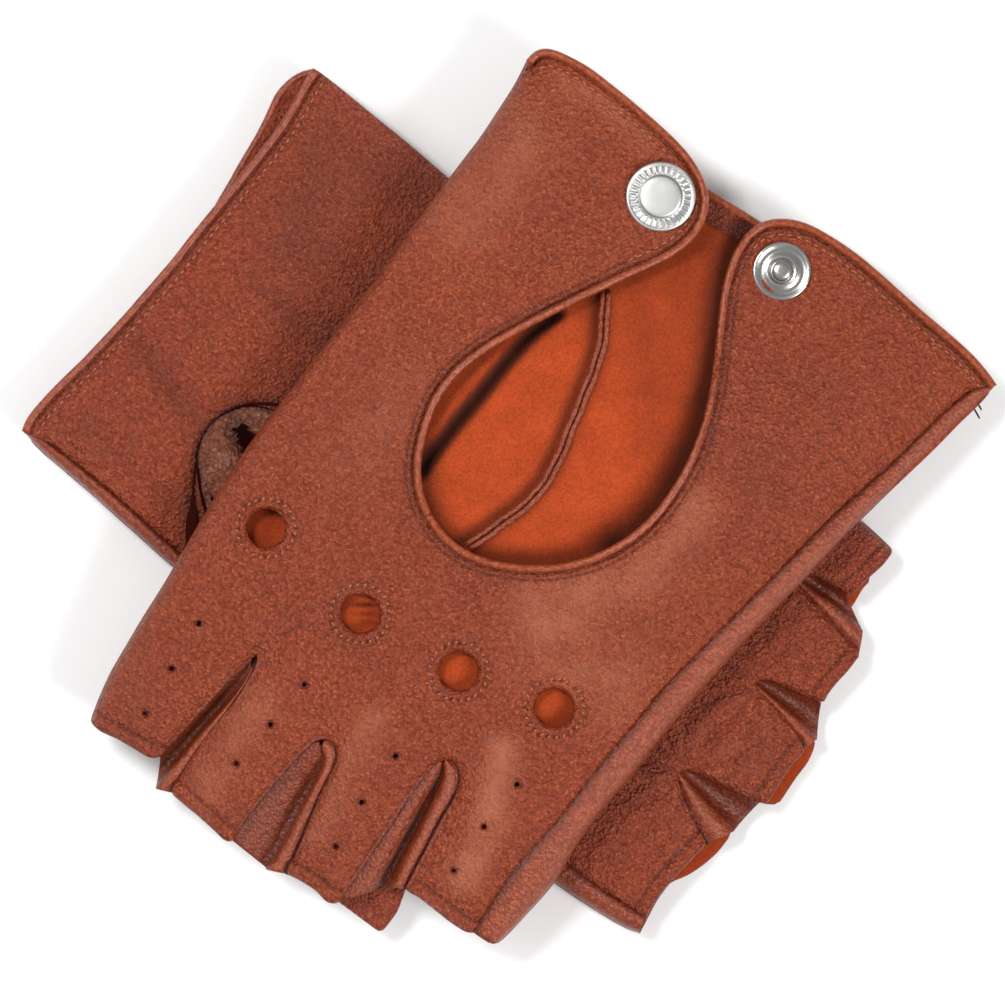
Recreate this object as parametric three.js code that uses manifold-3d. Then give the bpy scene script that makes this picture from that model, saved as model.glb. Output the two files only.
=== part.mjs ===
// A pair of fingerless leather driving gloves, one lying across the other.
// Units are millimetres, +Z is up, and the pair stands on the plane z = 0.
// The right glove lies below with its palm up; the left glove lies on it with its back up.
// Each glove is a flat shell: a palm panel and a back panel joined by side strips,
// finger webs (fourchettes) between the fingers, a thumb sleeve folded over the palm,
// and a wrist flap that closes over a keyhole opening with a press snap.
import * as THREE from 'three';
import { mergeVertices } from 'three/addons/utils/BufferGeometryUtils.js';
import Module from 'manifold-3d';

const wasm = await Module();
wasm.setup();

// ---- driving dimensions (mm) ----
const LEATHER = 0.9;          // leather thickness
const HEIGHT = 9.6;           // outside height of a glove's shell
const GAP = 0.15;             // half of the clearance left at a seam
const WALL_BOTTOM = 1.2;      // side walls and webs stand between the two panels
const WALL_TOP = 8.3;
const HEM = 1.6;              // width of a rolled hem or binding
const CAP_R = 7.6;            // press snap, 24-line size
const CAP_TOP = 11.1;
const CAP_SHANK_R = 2.1;
const SOCKET_R = 5.6;
const SOCKET_BOTTOM = 7.0;
const STUD_R = 6.4;
const POST_R = 2.3;
const LOBE_DROP = 5.6;        // how far the stud's lobe lies below the cap's lobe
const KNUCKLE_R = 4.4;
const FACING_W = 2.6;
const THUMB_T = 3.0;          // thickness of the folded thumb sleeve
const THUMB_WALL = 0.7;
const THUMB_HOLE_R = 8.0;
const RIGHT_TOP = 11.1;       // the right glove's palm face, and its snap cap is at z = 0
const LEFT_BASE = 14.7;       // the left glove's palm face above the floor

// ---- outlines, seen from above, in the pair's own frame ----
const LEFT = {
  edgeIndex: [[4.03, 94.83], [0.98, 88.74], [-2.18, 83.84], [-5.33, 78.94], [-10.08, 72.54], [-14.83, 66.14], [-19.57, 59.74], [-24.32, 53.34], [-29.06, 46.94], [-34.51, 39.84], [-39.95, 32.75], [-45.39, 25.65], [-50.83, 18.55], [-56.28, 11.46], [-59.69, 6.09], [-63.1, 0.72], [-66.51, -4.65], [-70.56, -11.4], [-74.61, -18.15], [-78.66, -24.9], [-82.7, -31.65], [-86.75, -38.4], [-88.93, -43.62], [-91.11, -48.85]],
  edgeLittle: [[106.35, 24.52], [101.56, 19.29], [74.34, -6.83], [47.13, -35.79], [37.34, -46.89], [19.92, -68.44], [15.57, -74.1], [9.69, -84.11], [-2.07, -96.96]],
  seamLittle: [[101.56, 23.43], [97.2, 20.38], [84.14, 7.54], [68.9, -6.18], [35.16, -40.36], [19.92, -58.43], [11.21, -69.75], [2.5, -79.54], [-7.29, -94.56]],
  capLobe: [[4.03, 94.83], [5.33, 96.79], [7.51, 97.66], [10.34, 97.01], [17.74, 93.09], [34.72, 78.94], [37.77, 75.89], [41.91, 69.8], [43, 66.97], [43.43, 64.14], [43, 61.31], [41.91, 58.48], [39.95, 55.87], [34.07, 51.51], [25.36, 47.59]],
  keyhole: [[21.01, 45.42], [-1.85, 33.66], [-10.12, 27.78], [-13.17, 24.3], [-15.57, 20.6], [-18.61, 11.46], [-19.27, 7.1], [-19.05, 2.75], [-18.18, -0.95], [-16.44, -4.44], [-14.04, -7.7], [-10.99, -10.53], [-7.51, -12.49], [-3.59, -13.8], [1.42, -14.67], [6.86, -14.89], [12.3, -14.45], [17.31, -13.14], [26.02, -8.57], [29.72, -5.53], [32.98, -1.82], [38.64, 7.1], [42.56, 17.33], [43.87, 22.99], [46.7, 45.2], [49.09, 53.04]],
  studLobe: [[50.83, 56.08], [52.79, 58.48], [55.19, 60], [58.02, 60.66], [61.28, 60.66], [64.77, 59.78], [68.25, 58.04], [76.52, 52.6], [98.29, 33.66], [101.77, 30.4], [106.35, 24.52]],
  backFingers: [
    [[-7.29, -94.56], [-9.47, -94.13], [-19.27, -86.73], [-21.88, -85.42]],
    [[-37.34, -88.25], [-39.29, -88.03], [-42.12, -84.99], [-48.22, -81.72]],
    [[-60.19, -74.75], [-61.5, -74.75], [-67.16, -69.31], [-73.26, -64.3]],
    [[-76.3, -56.47], [-78.05, -56.47], [-85.01, -52.33], [-88.71, -50.81], [-91.11, -48.85]]],
  backNotches: [
    [[-22.53, -84.77], [-14.91, -69.96], [-10.56, -62.56], [-10.34, -59.73], [-11.43, -57.34], [-13.39, -56.47], [-15.78, -57.56], [-18.18, -60.39], [-35.81, -86.73]],
    [[-46.91, -78.45], [-41.04, -64.74], [-37.34, -57.56], [-36.9, -55.16], [-37.99, -52.98], [-39.95, -52.11], [-42.34, -53.2], [-47.57, -58.64], [-57.15, -70.18], [-59.11, -73.23]],
    [[-71.95, -61.04], [-66.07, -51.9], [-59.11, -43.62], [-54.97, -36.44], [-54.32, -33.61], [-74.34, -54.73]]],
  palmCuff: [[5.99, 90.92], [85.23, 40.63], [96.11, 33.23], [103.73, 26.48]],
  palmFingers: [
    [[-2.07, -96.96], [-3.59, -97.61], [-17.09, -87.38], [-20.57, -86.07]],
    [[-24.49, -90.65], [-27.97, -95.22], [-37.34, -88.25], [-47.57, -82.59], [-49.53, -82.37]],
    [[-53.45, -80.63], [-60.19, -74.54], [-69.34, -67.57], [-72.39, -64.52]],
    [[-75.22, -57.12], [-88.71, -50.37], [-90.89, -48.63]]],
  palmNotches: [
    [[-15.78, -65.83]],
    [[-41.47, -60.39]],
    [[-58.45, -41.88]]],
  webs: [
    [[-22.53, -84.77], [-14.91, -69.96], [-10.56, -62.56], [-10.34, -59.73], [-11.43, -57.34], [-13.39, -56.47], [-15.78, -57.56], [-18.18, -60.39], [-35.81, -86.73]],
    [[-46.91, -78.45], [-41.04, -64.74], [-37.34, -57.56], [-36.9, -55.16], [-37.99, -52.98], [-39.95, -52.11], [-42.34, -53.2], [-47.57, -58.64], [-57.15, -70.18], [-59.11, -73.23]],
    [[-71.95, -61.04], [-66.07, -51.9], [-59.11, -43.62], [-54.97, -36.44], [-54.1, -33.61], [-55.84, -32.74], [-62.37, -41.88], [-74.34, -54.73]]],
  knuckles: [[-52.57, -6.61], [-32.11, -25.12], [-10.78, -37.64], [9.91, -45.58]],
  cap: [[32.98, 65.23]],
  stud: [[59.55, 49.34]],
  pivot: [[2.07, -16.63]],
  thumbBase: [[-1.85, 14.72]],
  thumbTip: [[3.37, -10.88]],
  seamIndex: [[5.91, 93.97], [2.75, 87.67], [-0.44, 82.72], [-3.63, 77.77], [-8.38, 71.36], [-13.14, 64.94], [-17.89, 58.53], [-22.65, 52.12], [-27.4, 45.71], [-32.84, 38.62], [-38.28, 31.53], [-43.71, 24.44], [-49.15, 17.35], [-54.59, 10.26], [-57.97, 4.93], [-61.35, -0.39], [-64.73, -5.72], [-68.77, -12.45], [-72.81, -19.18], [-76.85, -25.9], [-80.88, -32.63], [-84.92, -39.36], [-87.04, -44.46], [-89.17, -49.56]],
  // which side of each line the leather lies on
  inSign: -1, seamSign: -1, capSign: -1, cuffSign: -1, littleSign: -1, indexSign: 1, webSign: -1,
};

const RIGHT = {
  edgeIndex: [[-106.35, 14.5], [-102.86, 10.37], [-96.99, 5.47], [-91.11, 0.57], [-86.32, -3.78], [-81.53, -8.14], [-76.74, -12.49], [-70.35, -17.93], [-63.97, -23.38], [-57.58, -28.82], [-51.2, -34.26], [-44.81, -39.7], [-38.42, -45.15], [-32.04, -50.59], [-25.65, -56.03], [-19.27, -61.47], [-12.74, -66.7], [-6.2, -71.92], [0.33, -77.15], [7.29, -82.37], [14.26, -87.6], [19.48, -90.86], [24.71, -94.13], [28.85, -95.87]],
  edgeLittle: [[-42.56, 93.96], [-23.84, 78.94], [72.17, -0.74], [84.36, -11.62]],
  seamLittle: [[-44.13, 91.87], [-25.84, 76.47], [68.23, -5.45], [79.74, -16.24]],
  capLobe: [[-97.66, 6.66], [-99.52, 8.1], [-100.45, 10.16], [-100.04, 12.62], [-96.92, 18.79], [-84.98, 32.42], [-79.71, 36.62], [-77, 37.85], [-71.86, 38.6], [-66.53, 36.62], [-63.99, 34.57], [-59.64, 28.75], [-55.86, 20.42]],
  keyhole: [[-53.97, 16.28], [-45.16, -5.56], [-40.74, -13.69], [-37.86, -16.74], [-34.64, -19.18], [-26.06, -22.42], [-21.76, -23.19], [-17.41, -23.05], [-13.69, -22.24], [-10.18, -20.57], [-6.88, -18.23], [-3.99, -15.24], [-1.97, -11.79], [-0.6, -7.9], [0.36, -2.91], [0.67, 2.52], [0.33, 7.96], [-0.87, 12.91], [-5.05, 21.17], [-7.82, 24.5], [-11.18, 27.3], [-19.28, 31.89], [-28.59, 34.95], [-54.45, 39.59], [-61.94, 42.49]],
  studLobe: [[-64.89, 44.36], [-67.26, 46.35], [-68.84, 48.64], [-69.65, 51.22], [-69.88, 54.13], [-55.62, 78.94], [-51.05, 88.74], [-48.66, 91.35], [-45.39, 93.53], [-42.56, 93.96]],
  backFingers: [
    [[80, -18.15], [78.26, -19.46], [73.91, -26.21]],
    [[77.39, -33.61], [69.56, -43.41]],
    [[67.81, -53.85], [66.07, -58.21], [59.54, -67.57], [57.36, -67.57]],
    [[49.31, -73.88], [46.04, -78.24], [42.78, -81.07], [39.51, -83.24], [35.59, -84.77], [32.55, -88.9], [28.85, -95.87]]],
  backNotches: [
    [[61.28, -20.11]],
    [[52.14, -41.88]],
    [[35.59, -61.91]]],
  palmCuff: [[-106.35, 14.5], [-105.91, 16.68], [-102.86, 20.38], [-84.14, 39.76], [-72.82, 52.82], [-58.45, 70.67], [-49.74, 81.77], [-44.74, 90.92], [-42.56, 93.96]],
  palmFingers: [
    [[84.36, -11.62], [81.75, -14.89], [74.56, -21.85]],
    [[76.96, -34.26], [69.56, -43.41]],
    [[64.77, -55.38], [61.94, -58.43], [56.49, -67.13]],
    [[43.21, -75.84], [32.98, -86.95], [30.8, -90.21], [28.85, -95.87]]],
  palmNotches: [
    [[73.91, -20.55], [66.07, -16.41], [64.11, -16.85], [63.46, -18.8], [74.34, -31.21]],
    [[69.12, -44.93], [57.36, -39.92], [54.75, -39.7], [53.88, -41.01], [62.37, -50.59]],
    [[54.75, -66.48], [38.64, -59.3], [37.12, -60.6], [37.34, -63.22], [41.91, -73.23]]],
  webs: [
    [[73.91, -20.55], [66.07, -16.41], [63.46, -16.19], [62.37, -17.72], [63.46, -19.68], [74.34, -31.21]],
    [[69.12, -44.93], [54.75, -39.05], [53.01, -40.57], [62.37, -50.59]],
    [[54.75, -66.48], [38.21, -58.64], [36.25, -60.39], [41.91, -73.23]]],
  knuckles: [[-8.65, -56.71], [10.2, -36.6], [23.09, -15.5], [31.4, 5.02]],
  cap: [[-71.42, 28.97]],
  stud: [[-58.01, 50.38]],
  pivot: [[2.33, -2.3]],
  thumbBase: [[-56.28, 8.19]],
  thumbTip: [[-37.67, -6.87]],
  seamIndex: [[-101.56, 12.33], [-97.64, 9.71], [-93.28, 6.12], [-88.93, 2.53], [-83.13, -2.62], [-77.32, -7.77], [-71.51, -12.93], [-64.71, -18.67], [-57.91, -24.41], [-51.11, -30.15], [-44.3, -35.89], [-37.5, -41.64], [-30.7, -47.38], [-23.89, -53.12], [-17.09, -58.86], [-11.65, -63.11], [-6.2, -67.35], [-0.25, -71.34], [5.7, -75.33], [11.65, -79.33], [17.74, -84.33], [23.95, -88.25], [30.15, -92.17]],
  // which side of each line the leather lies on
  inSign: -1, seamSign: -1, capSign: -1, cuffSign: -1, littleSign: -1, indexSign: 1, webSign: -1,
};

// ---- fold lines: the gloves droop past what supports them ----
// Each entry is [distance from the cuff along the glove, slope beyond it].
const LEFT_AXIS = { origin: [56.93, 61.53], dir: [-0.6153, -0.7883],
  cuff: [[30, 0.09]], tip: [[138, 0.09], [156, 0.17]] };
const RIGHT_AXIS = { origin: [-74.78, 53.91], dir: [0.7772, -0.6292],
  cuff: [], tip: [[43, 0.0108]] };

// ---- plan helpers ----
const V = (p) => new THREE.Vector2(p[0], p[1]);

function offset(points, d) {           // positive d moves an open line to its left
  return points.map((p, i) => {
    const a = points[Math.max(0, i - 1)], b = points[Math.min(points.length - 1, i + 1)];
    const n1 = unitNormal(a, p), n2 = unitNormal(p, b);
    let nx, ny;
    if (!n1) [nx, ny] = n2; else if (!n2) [nx, ny] = n1;
    else {
      nx = n1[0] + n2[0]; ny = n1[1] + n2[1];
      const l = Math.hypot(nx, ny) || 1; nx /= l; ny /= l;
      const c = Math.max(0.66, nx * n1[0] + ny * n1[1]);
      nx /= c; ny /= c;
    }
    return [p[0] + nx * d, p[1] + ny * d];
  });
}
function unitNormal(a, b) {
  const x = b[0] - a[0], y = b[1] - a[1], l = Math.hypot(x, y);
  return l < 1e-6 ? null : [-y / l, x / l];
}
function band(points, d0, d1) {        // closed outline between two offsets of a line
  return [...offset(points, d0), ...offset(points, d1).reverse()];
}
function shorten(points, start, end) { // takes a length off each end of an open line
  const trim = (list, d) => {
    const q = [...list];
    while (q.length > 2 && Math.hypot(q[1][0] - q[0][0], q[1][1] - q[0][1]) <= d + 0.05) {
      d -= Math.hypot(q[1][0] - q[0][0], q[1][1] - q[0][1]);
      q.shift();
    }
    const l = Math.hypot(q[1][0] - q[0][0], q[1][1] - q[0][1]), t = Math.max(0, d) / l;
    q[0] = [q[0][0] + (q[1][0] - q[0][0]) * t, q[0][1] + (q[1][1] - q[0][1]) * t];
    return q;
  };
  return trim(trim(points, start).reverse(), end).reverse();
}
function circle(c, r, n) {
  return Array.from({ length: n }, (_, i) => [c[0] + r * Math.cos(2 * Math.PI * i / n), c[1] + r * Math.sin(2 * Math.PI * i / n)]);
}
function wound(points, clockwise) {    // drops repeated points and sets the direction
  const q = points.filter((p, i) => {
    const o = points[(i + 1) % points.length];
    return Math.hypot(p[0] - o[0], p[1] - o[1]) > 0.02;
  }).map(V);
  return THREE.ShapeUtils.isClockWise(q) === clockwise ? q : q.reverse();
}
function plate(outline, holes, z0, z1) {
  const shape = new THREE.Shape(wound(outline, false));
  for (const h of holes) shape.holes.push(new THREE.Path(wound(h, true)));
  const g = new THREE.ExtrudeGeometry(shape, { depth: z1 - z0, bevelEnabled: false, steps: 1 });
  g.translate(0, 0, z0);
  return solid(g);
}
function lathe(profile, c, n) {
  const g = new THREE.LatheGeometry(profile.map(V), n);
  g.rotateX(Math.PI / 2);
  g.translate(c[0], c[1], 0);
  return solid(g);
}
function solid(g) {
  g.deleteAttribute('normal'); g.deleteAttribute('uv');
  const m = mergeVertices(g, 1e-4);
  const idx = [];
  const a = m.index.array;
  for (let i = 0; i < a.length; i += 3) {
    if (a[i] !== a[i + 1] && a[i + 1] !== a[i + 2] && a[i] !== a[i + 2]) idx.push(a[i], a[i + 1], a[i + 2]);
  }
  let s = new wasm.Manifold(new wasm.Mesh({ numProp: 3, vertProperties: new Float32Array(m.attributes.position.array), triVerts: new Uint32Array(idx) }));
  if (s.volume() < 0) {
    for (let i = 0; i < idx.length; i += 3) [idx[i], idx[i + 1]] = [idx[i + 1], idx[i]];
    s = new wasm.Manifold(new wasm.Mesh({ numProp: 3, vertProperties: new Float32Array(m.attributes.position.array), triVerts: new Uint32Array(idx) }));
  }
  return s;
}

// ---- bending a finished solid ----
function splitAt(mesh, f) {            // adds vertices where the linear function f is zero
  const P = mesh.P, out = [], cache = new Map();
  const val = P.map(f);
  const cut = (i, j) => {
    const k = i < j ? i + '_' + j : j + '_' + i;
    if (!cache.has(k)) {
      const [a, b] = i < j ? [i, j] : [j, i];
      const t = val[a] / (val[a] - val[b]);
      P.push([0, 1, 2].map((q) => P[a][q] + (P[b][q] - P[a][q]) * t));
      cache.set(k, P.length - 1);
    }
    return cache.get(k);
  };
  const sgn = (i) => (Math.abs(val[i]) < 0.02 ? 0 : Math.sign(val[i]));
  for (const t of mesh.T) {
    const s = t.map(sgn);
    if (!(s.includes(1) && s.includes(-1))) { out.push(t); continue; }
    const z = s.indexOf(0);
    if (z >= 0) {
      const [a, b, c] = [t[z], t[(z + 1) % 3], t[(z + 2) % 3]];
      const m = cut(b, c);
      out.push([a, b, m], [a, m, c]);
      continue;
    }
    const lone = s[0] === s[1] ? 2 : s[1] === s[2] ? 0 : 1;
    const [a, b, c] = [t[lone], t[(lone + 1) % 3], t[(lone + 2) % 3]];
    const ab = cut(a, b), ac = cut(a, c);
    out.push([a, ab, ac], [ab, b, c], [ab, c, ac]);
  }
  mesh.T = out;
}
function ramp(value, folds) {          // piecewise linear, each fold sets a new slope
  let h = 0;
  folds.forEach(([s, k], i) => {
    const end = i + 1 < folds.length ? folds[i + 1][0] : 1e9;
    h += k * Math.max(0, Math.min(value, end) - s);
  });
  return h;
}
const clamp01 = (t) => Math.max(0, Math.min(1, t));

function makeGlove(name, tab, axis, base, up, colours) {
  const group = new THREE.Group();
  const along = (p) => (p[0] - axis.origin[0]) * axis.dir[0] + (p[1] - axis.origin[1]) * axis.dir[1];
  const P = tab.pivot[0], cap = tab.cap[0], stud = tab.stud[0];
  const R = Math.hypot(stud[0] - P[0], stud[1] - P[1]);
  const u = [(stud[0] - P[0]) / R, (stud[1] - P[1]) / R];
  const cuffMid = tab.keyhole[tab.keyhole.length - 1];
  const m = [0, 1].map((i) => cuffMid[i] * 0.75 + cap[i] * 0.25 - P[i]);   // the line between the two lobes
  const side = (p) => m[0] * (p[1] - P[1]) - m[1] * (p[0] - P[0]);   // negative on the stud's side
  const reach = (p) => (p[0] - P[0]) * u[0] + (p[1] - P[1]) * u[1];
  const DROP0 = R * 0.5, DROP1 = R * 0.85;
  const drop = (p) => (side(p) < 0 ? LOBE_DROP * clamp01((reach(p) - DROP0) / (DROP1 - DROP0)) : 0);
  const droop = (p) => {
    const a = along(p);
    return ramp(-a, axis.cuff.map(([s, k]) => [-s, k])) + ramp(a, axis.tip);
  };
  const place = (p) => {
    const z = p[2] - drop(p) * clamp01((p[2] - WALL_BOTTOM) / (WALL_TOP - WALL_BOTTOM));
    return [p[0], p[1], (up > 0 ? base + z : base - z) - droop(p)];
  };
  const add = (node, s, look, bend = true) => {
    const g = s.getMesh();
    const mesh = { P: [], T: [] };
    for (let i = 0; i < g.vertProperties.length; i += g.numProp) mesh.P.push([0, 1, 2].map((q) => g.vertProperties[i + q]));
    for (let i = 0; i < g.triVerts.length; i += 3) mesh.T.push([g.triVerts[i], g.triVerts[i + 1], g.triVerts[i + 2]]);
    if (bend) {
      if (mesh.P.some((p) => drop(p) > 0)) {
        splitAt(mesh, (p) => reach(p) - DROP0);
        splitAt(mesh, (p) => reach(p) - DROP1);
      }
      for (const [s0] of [...axis.cuff, ...axis.tip]) splitAt(mesh, (p) => along(p) - s0);
      mesh.P = mesh.P.map(place);
    } else mesh.P = mesh.P.map((p) => [p[0], p[1], up > 0 ? base + p[2] : base - p[2]]);
    const geometry = new THREE.BufferGeometry();
    geometry.setAttribute('position', new THREE.BufferAttribute(new Float32Array(mesh.P.flat()), 3));
    geometry.setIndex(mesh.T.flatMap((t) => (up > 0 ? t : [t[1], t[0], t[2]])));
    geometry.computeVertexNormals();
    const [color, roughness, metalness] = look;
    const out = new THREE.Mesh(geometry, new THREE.MeshStandardMaterial({ color, roughness, metalness }));
    out.name = name + '_' + node;
    group.add(out);
  };

  // ---- back: one panel, and the wrist lobe that carries the cap ----
  const split = Math.hypot(tab.keyhole[0][0] - P[0], tab.keyhole[0][1] - P[1]);
  const edge = tab.edgeIndex;
  let k = edge.findIndex((p) => Math.hypot(p[0] - P[0], p[1] - P[1]) < split);
  const far = edge[k - 1], near = edge[k];
  let t0 = 0, t1 = 1;
  for (let i = 0; i < 40; i++) {
    const t = (t0 + t1) / 2, x = far[0] + (near[0] - far[0]) * t, y = far[1] + (near[1] - far[1]) * t;
    if (Math.hypot(x - P[0], y - P[1]) > split) t0 = t; else t1 = t;
  }
  const meet = [far[0] + (near[0] - far[0]) * t0, far[1] + (near[1] - far[1]) * t0];
  const a0 = Math.atan2(meet[1] - P[1], meet[0] - P[0]);
  let a1 = Math.atan2(tab.keyhole[0][1] - P[1], tab.keyhole[0][0] - P[0]);
  if (a1 - a0 > Math.PI) a1 -= 2 * Math.PI;
  if (a1 - a0 < -Math.PI) a1 += 2 * Math.PI;
  a1 += Math.sign(a0 - a1) * (HEM + 2.1) / split;
  const arc = (r) => Array.from({ length: 9 }, (_, i) => {
    const a = a0 + (a1 - a0) * i / 8;
    return [P[0] + r * Math.cos(a), P[1] + r * Math.sin(a)];
  });
  const IN = (list, d) => offset(list, d);
  const opening = [...tab.keyhole, ...tab.studLobe];
  const bindingLine = shorten(opening, 2.6, 3.4);
  const openingIn = shorten(IN(opening, tab.inSign * (HEM + 2 * GAP)), 2.2, 2.6);
  const seamIn = IN(tab.seamLittle, tab.seamSign * 2 * GAP);
  const backOutline = [
    ...openingIn, ...seamIn.slice(1, -1),
    ...tab.backFingers[0], ...tab.backNotches[0], ...tab.backFingers[1], ...tab.backNotches[1],
    ...tab.backFingers[2], ...tab.backNotches[2], ...tab.backFingers[3],
    ...edge.slice(k).reverse(), ...arc(split - GAP),
  ];
  const holes = tab.knuckles.map((c) => circle(c, KNUCKLE_R, 14));
  const studHole = circle(stud, POST_R + 0.5, 12);
  add('back_panel', plate(backOutline, [...holes, studHole], HEIGHT - LEATHER, HEIGHT), colours.leather);
  const capEdge = tab.capLobe;
  const capIn = IN(capEdge, tab.capSign * (HEM + 2 * GAP)).slice(1);
  const flapOutline = [
    ...arc(split + GAP).reverse(),
    ...edge.slice(0, k).filter((p) => along(p) > along(capEdge[0]) + HEM + 1).reverse(), ...capIn,
  ];
  const capHole = circle(cap, CAP_SHANK_R + 0.5, 12);
  add('cap_flap', plate(flapOutline, [capHole], HEIGHT - LEATHER, HEIGHT), colours.leather);

  // ---- palm with its thumb hole ----
  const tb = tab.thumbBase[0], tt = tab.thumbTip[0];
  const palmOutline = [
    ...shorten(IN(tab.palmCuff, tab.cuffSign * (HEM + 2 * GAP)), 2.5, 1.5),
    ...tab.edgeLittle.slice(1),
    ...tab.palmFingers[0].slice(1), ...tab.palmNotches[0], ...tab.palmFingers[1], ...tab.palmNotches[1],
    ...tab.palmFingers[2], ...tab.palmNotches[2], ...tab.palmFingers[3].slice(0, -1),
    ...IN(tab.seamIndex, tab.indexSign * 2 * GAP).slice(1).reverse(),
  ];
  add('palm_panel', plate(palmOutline, [circle(tb, THUMB_HOLE_R, 16)], 0, LEATHER), colours.palm);

  // ---- side strips: each is a wall with one flange, on the face where its seam lies ----
  const wallLittle = plate(band(tab.edgeLittle, 0, tab.littleSign * LEATHER), [], WALL_BOTTOM, HEIGHT - 0.05);
  const flangeLittle = plate([...tab.edgeLittle, ...[...tab.seamLittle].reverse()], [], HEIGHT - LEATHER, HEIGHT);
  add('little_side', wallLittle.add(flangeLittle), colours.strip);
  const wallIndex = plate(band(edge, 0, tab.indexSign * LEATHER), [], 0.05, WALL_TOP);
  const flangeIndex = plate([...edge, ...[...tab.seamIndex].reverse()], [], 0, LEATHER);
  add('index_side', wallIndex.add(flangeIndex), colours.strip);

  // ---- webs between the fingers ----
  ['ring_little_web', 'middle_ring_web', 'index_middle_web'].forEach((w, i) => {
    add(w, plate(band(tab.webs[i], tab.webSign * 0.4, tab.webSign * 1.2), [], WALL_BOTTOM, WALL_TOP), colours.strip);
  });

  // ---- hems and bindings ----
  add('palm_cuff_hem', plate(band(shorten(tab.palmCuff, 3, 3), tab.cuffSign * 0.05, tab.cuffSign * HEM), [], 0, 1.7), colours.palm);
  add('opening_binding', plate(band(bindingLine, tab.inSign * 0.05, tab.inSign * HEM), [], HEIGHT - 1.1, HEIGHT), colours.leather);
  add('cap_flap_binding', plate(band(shorten(capEdge, 0.6, 0.2), tab.capSign * 0.05, tab.capSign * HEM), [], HEIGHT - 1.1, HEIGHT), colours.leather);

  // ---- facings sewn under the knuckle holes ----
  ['little', 'ring', 'middle', 'index'].forEach((f, i) => {
    const c = tab.knuckles[3 - i];
    add(f + '_knuckle_facing', plate(circle(c, KNUCKLE_R + FACING_W, 14), [circle(c, KNUCKLE_R + 0.1, 14)], HEIGHT - LEATHER - 0.9, HEIGHT - LEATHER - 0.2), colours.leather);
  });

  // ---- press snap ----
  const H = HEIGHT;
  add('snap_cap', lathe([[0, H - 2.2], [CAP_SHANK_R, H - 2.2], [CAP_SHANK_R, H + 0.25], [CAP_R - 0.3, H + 0.25], [CAP_R, H + 0.5], [CAP_R - 0.5, H + 1.1], [CAP_R - 1.6, CAP_TOP], [0, CAP_TOP]], cap, 20), colours.metal);
  add('snap_socket', lathe([[CAP_SHANK_R + 0.4, SOCKET_BOTTOM], [SOCKET_R - 0.6, SOCKET_BOTTOM], [SOCKET_R, H - 1.6], [SOCKET_R, H - 1.1], [CAP_SHANK_R + 0.4, H - 1.1], [CAP_SHANK_R + 0.4, SOCKET_BOTTOM]], cap, 16), colours.metal);
  add('snap_stud', lathe([[0, H + 0.2], [STUD_R, H + 0.2], [STUD_R - 0.2, H + 0.6], [POST_R + 0.4, H + 0.8], [POST_R - 0.3, H + 1.5], [POST_R, H + 2.2], [POST_R - 0.5, H + 2.8], [0, H + 2.8]], stud, 20), colours.metal);
  add('snap_eyelet', lathe([[0, H - 1.7], [STUD_R - 1.4, H - 1.7], [STUD_R - 1.4, H - 1.1], [POST_R - 0.4, H - 1.1], [POST_R - 0.4, H - 0.15], [0, H - 0.15]], stud, 16), colours.metal);

  // ---- thumb: a flattened sleeve, open at the tip and into the thumb hole ----
  const L = Math.hypot(tt[0] - tb[0], tt[1] - tb[1]), d = [(tt[0] - tb[0]) / L, (tt[1] - tb[1]) / L];
  const sleeve = (r, len) => {
    const pts = [];
    const base0 = Math.atan2(d[0], -d[1]);           // left of the direction
    for (let i = 0; i <= 12; i++) {
      const a = base0 + Math.PI * i / 12;
      pts.push([tb[0] + r * Math.cos(a), tb[1] + r * Math.sin(a)]);
    }
    const q = pts[pts.length - 1], s = pts[0];
    pts.push([q[0] * 0.97 + tb[0] * 0.03 + d[0] * len, q[1] * 0.97 + tb[1] * 0.03 + d[1] * len]);
    pts.push([s[0] * 0.97 + tb[0] * 0.03 + d[0] * len, s[1] * 0.97 + tb[1] * 0.03 + d[1] * len]);
    return pts;
  };
  const zt = -0.3;
  const outer = plate(sleeve(tab.thumbR, L), [], zt - THUMB_T, zt);
  const inner = plate(sleeve(tab.thumbR - THUMB_WALL, L + 5), [], zt - THUMB_T + THUMB_WALL, zt - THUMB_WALL);
  const mouth = plate(circle(tb, THUMB_HOLE_R, 16), [], zt - THUMB_WALL - 0.5, zt + 0.5);
  add('thumb', outer.subtract(inner).subtract(mouth), colours.palm, false);
  return group;
}

const LEATHER_LEFT = [0xa5553c, 0.5, 0], LEATHER_RIGHT = [0x9c5740, 0.55, 0], STRIP = [0xa0523a, 0.52, 0], NICKEL = [0xc8c6c2, 0.25, 1];

const gloves = new THREE.Group();
const right = makeGlove('right', Object.assign(RIGHT, { thumbR: 12 }), RIGHT_AXIS, RIGHT_TOP, -1,
  { leather: LEATHER_RIGHT, palm: LEATHER_RIGHT, strip: STRIP, metal: NICKEL });
const left = makeGlove('left', Object.assign(LEFT, { thumbR: 13 }), LEFT_AXIS, LEFT_BASE, 1,
  { leather: LEATHER_LEFT, palm: LEATHER_LEFT, strip: STRIP, metal: NICKEL });
gloves.add(right, left);
export default gloves;
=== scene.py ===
# A pair of fingerless leather driving gloves: the looks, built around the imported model.
# Lengths in the tables are millimetres in the model's own frame; Blender objects are in metres.
import math
import bpy
import numpy as np
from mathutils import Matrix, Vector, geometry, noise


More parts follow.
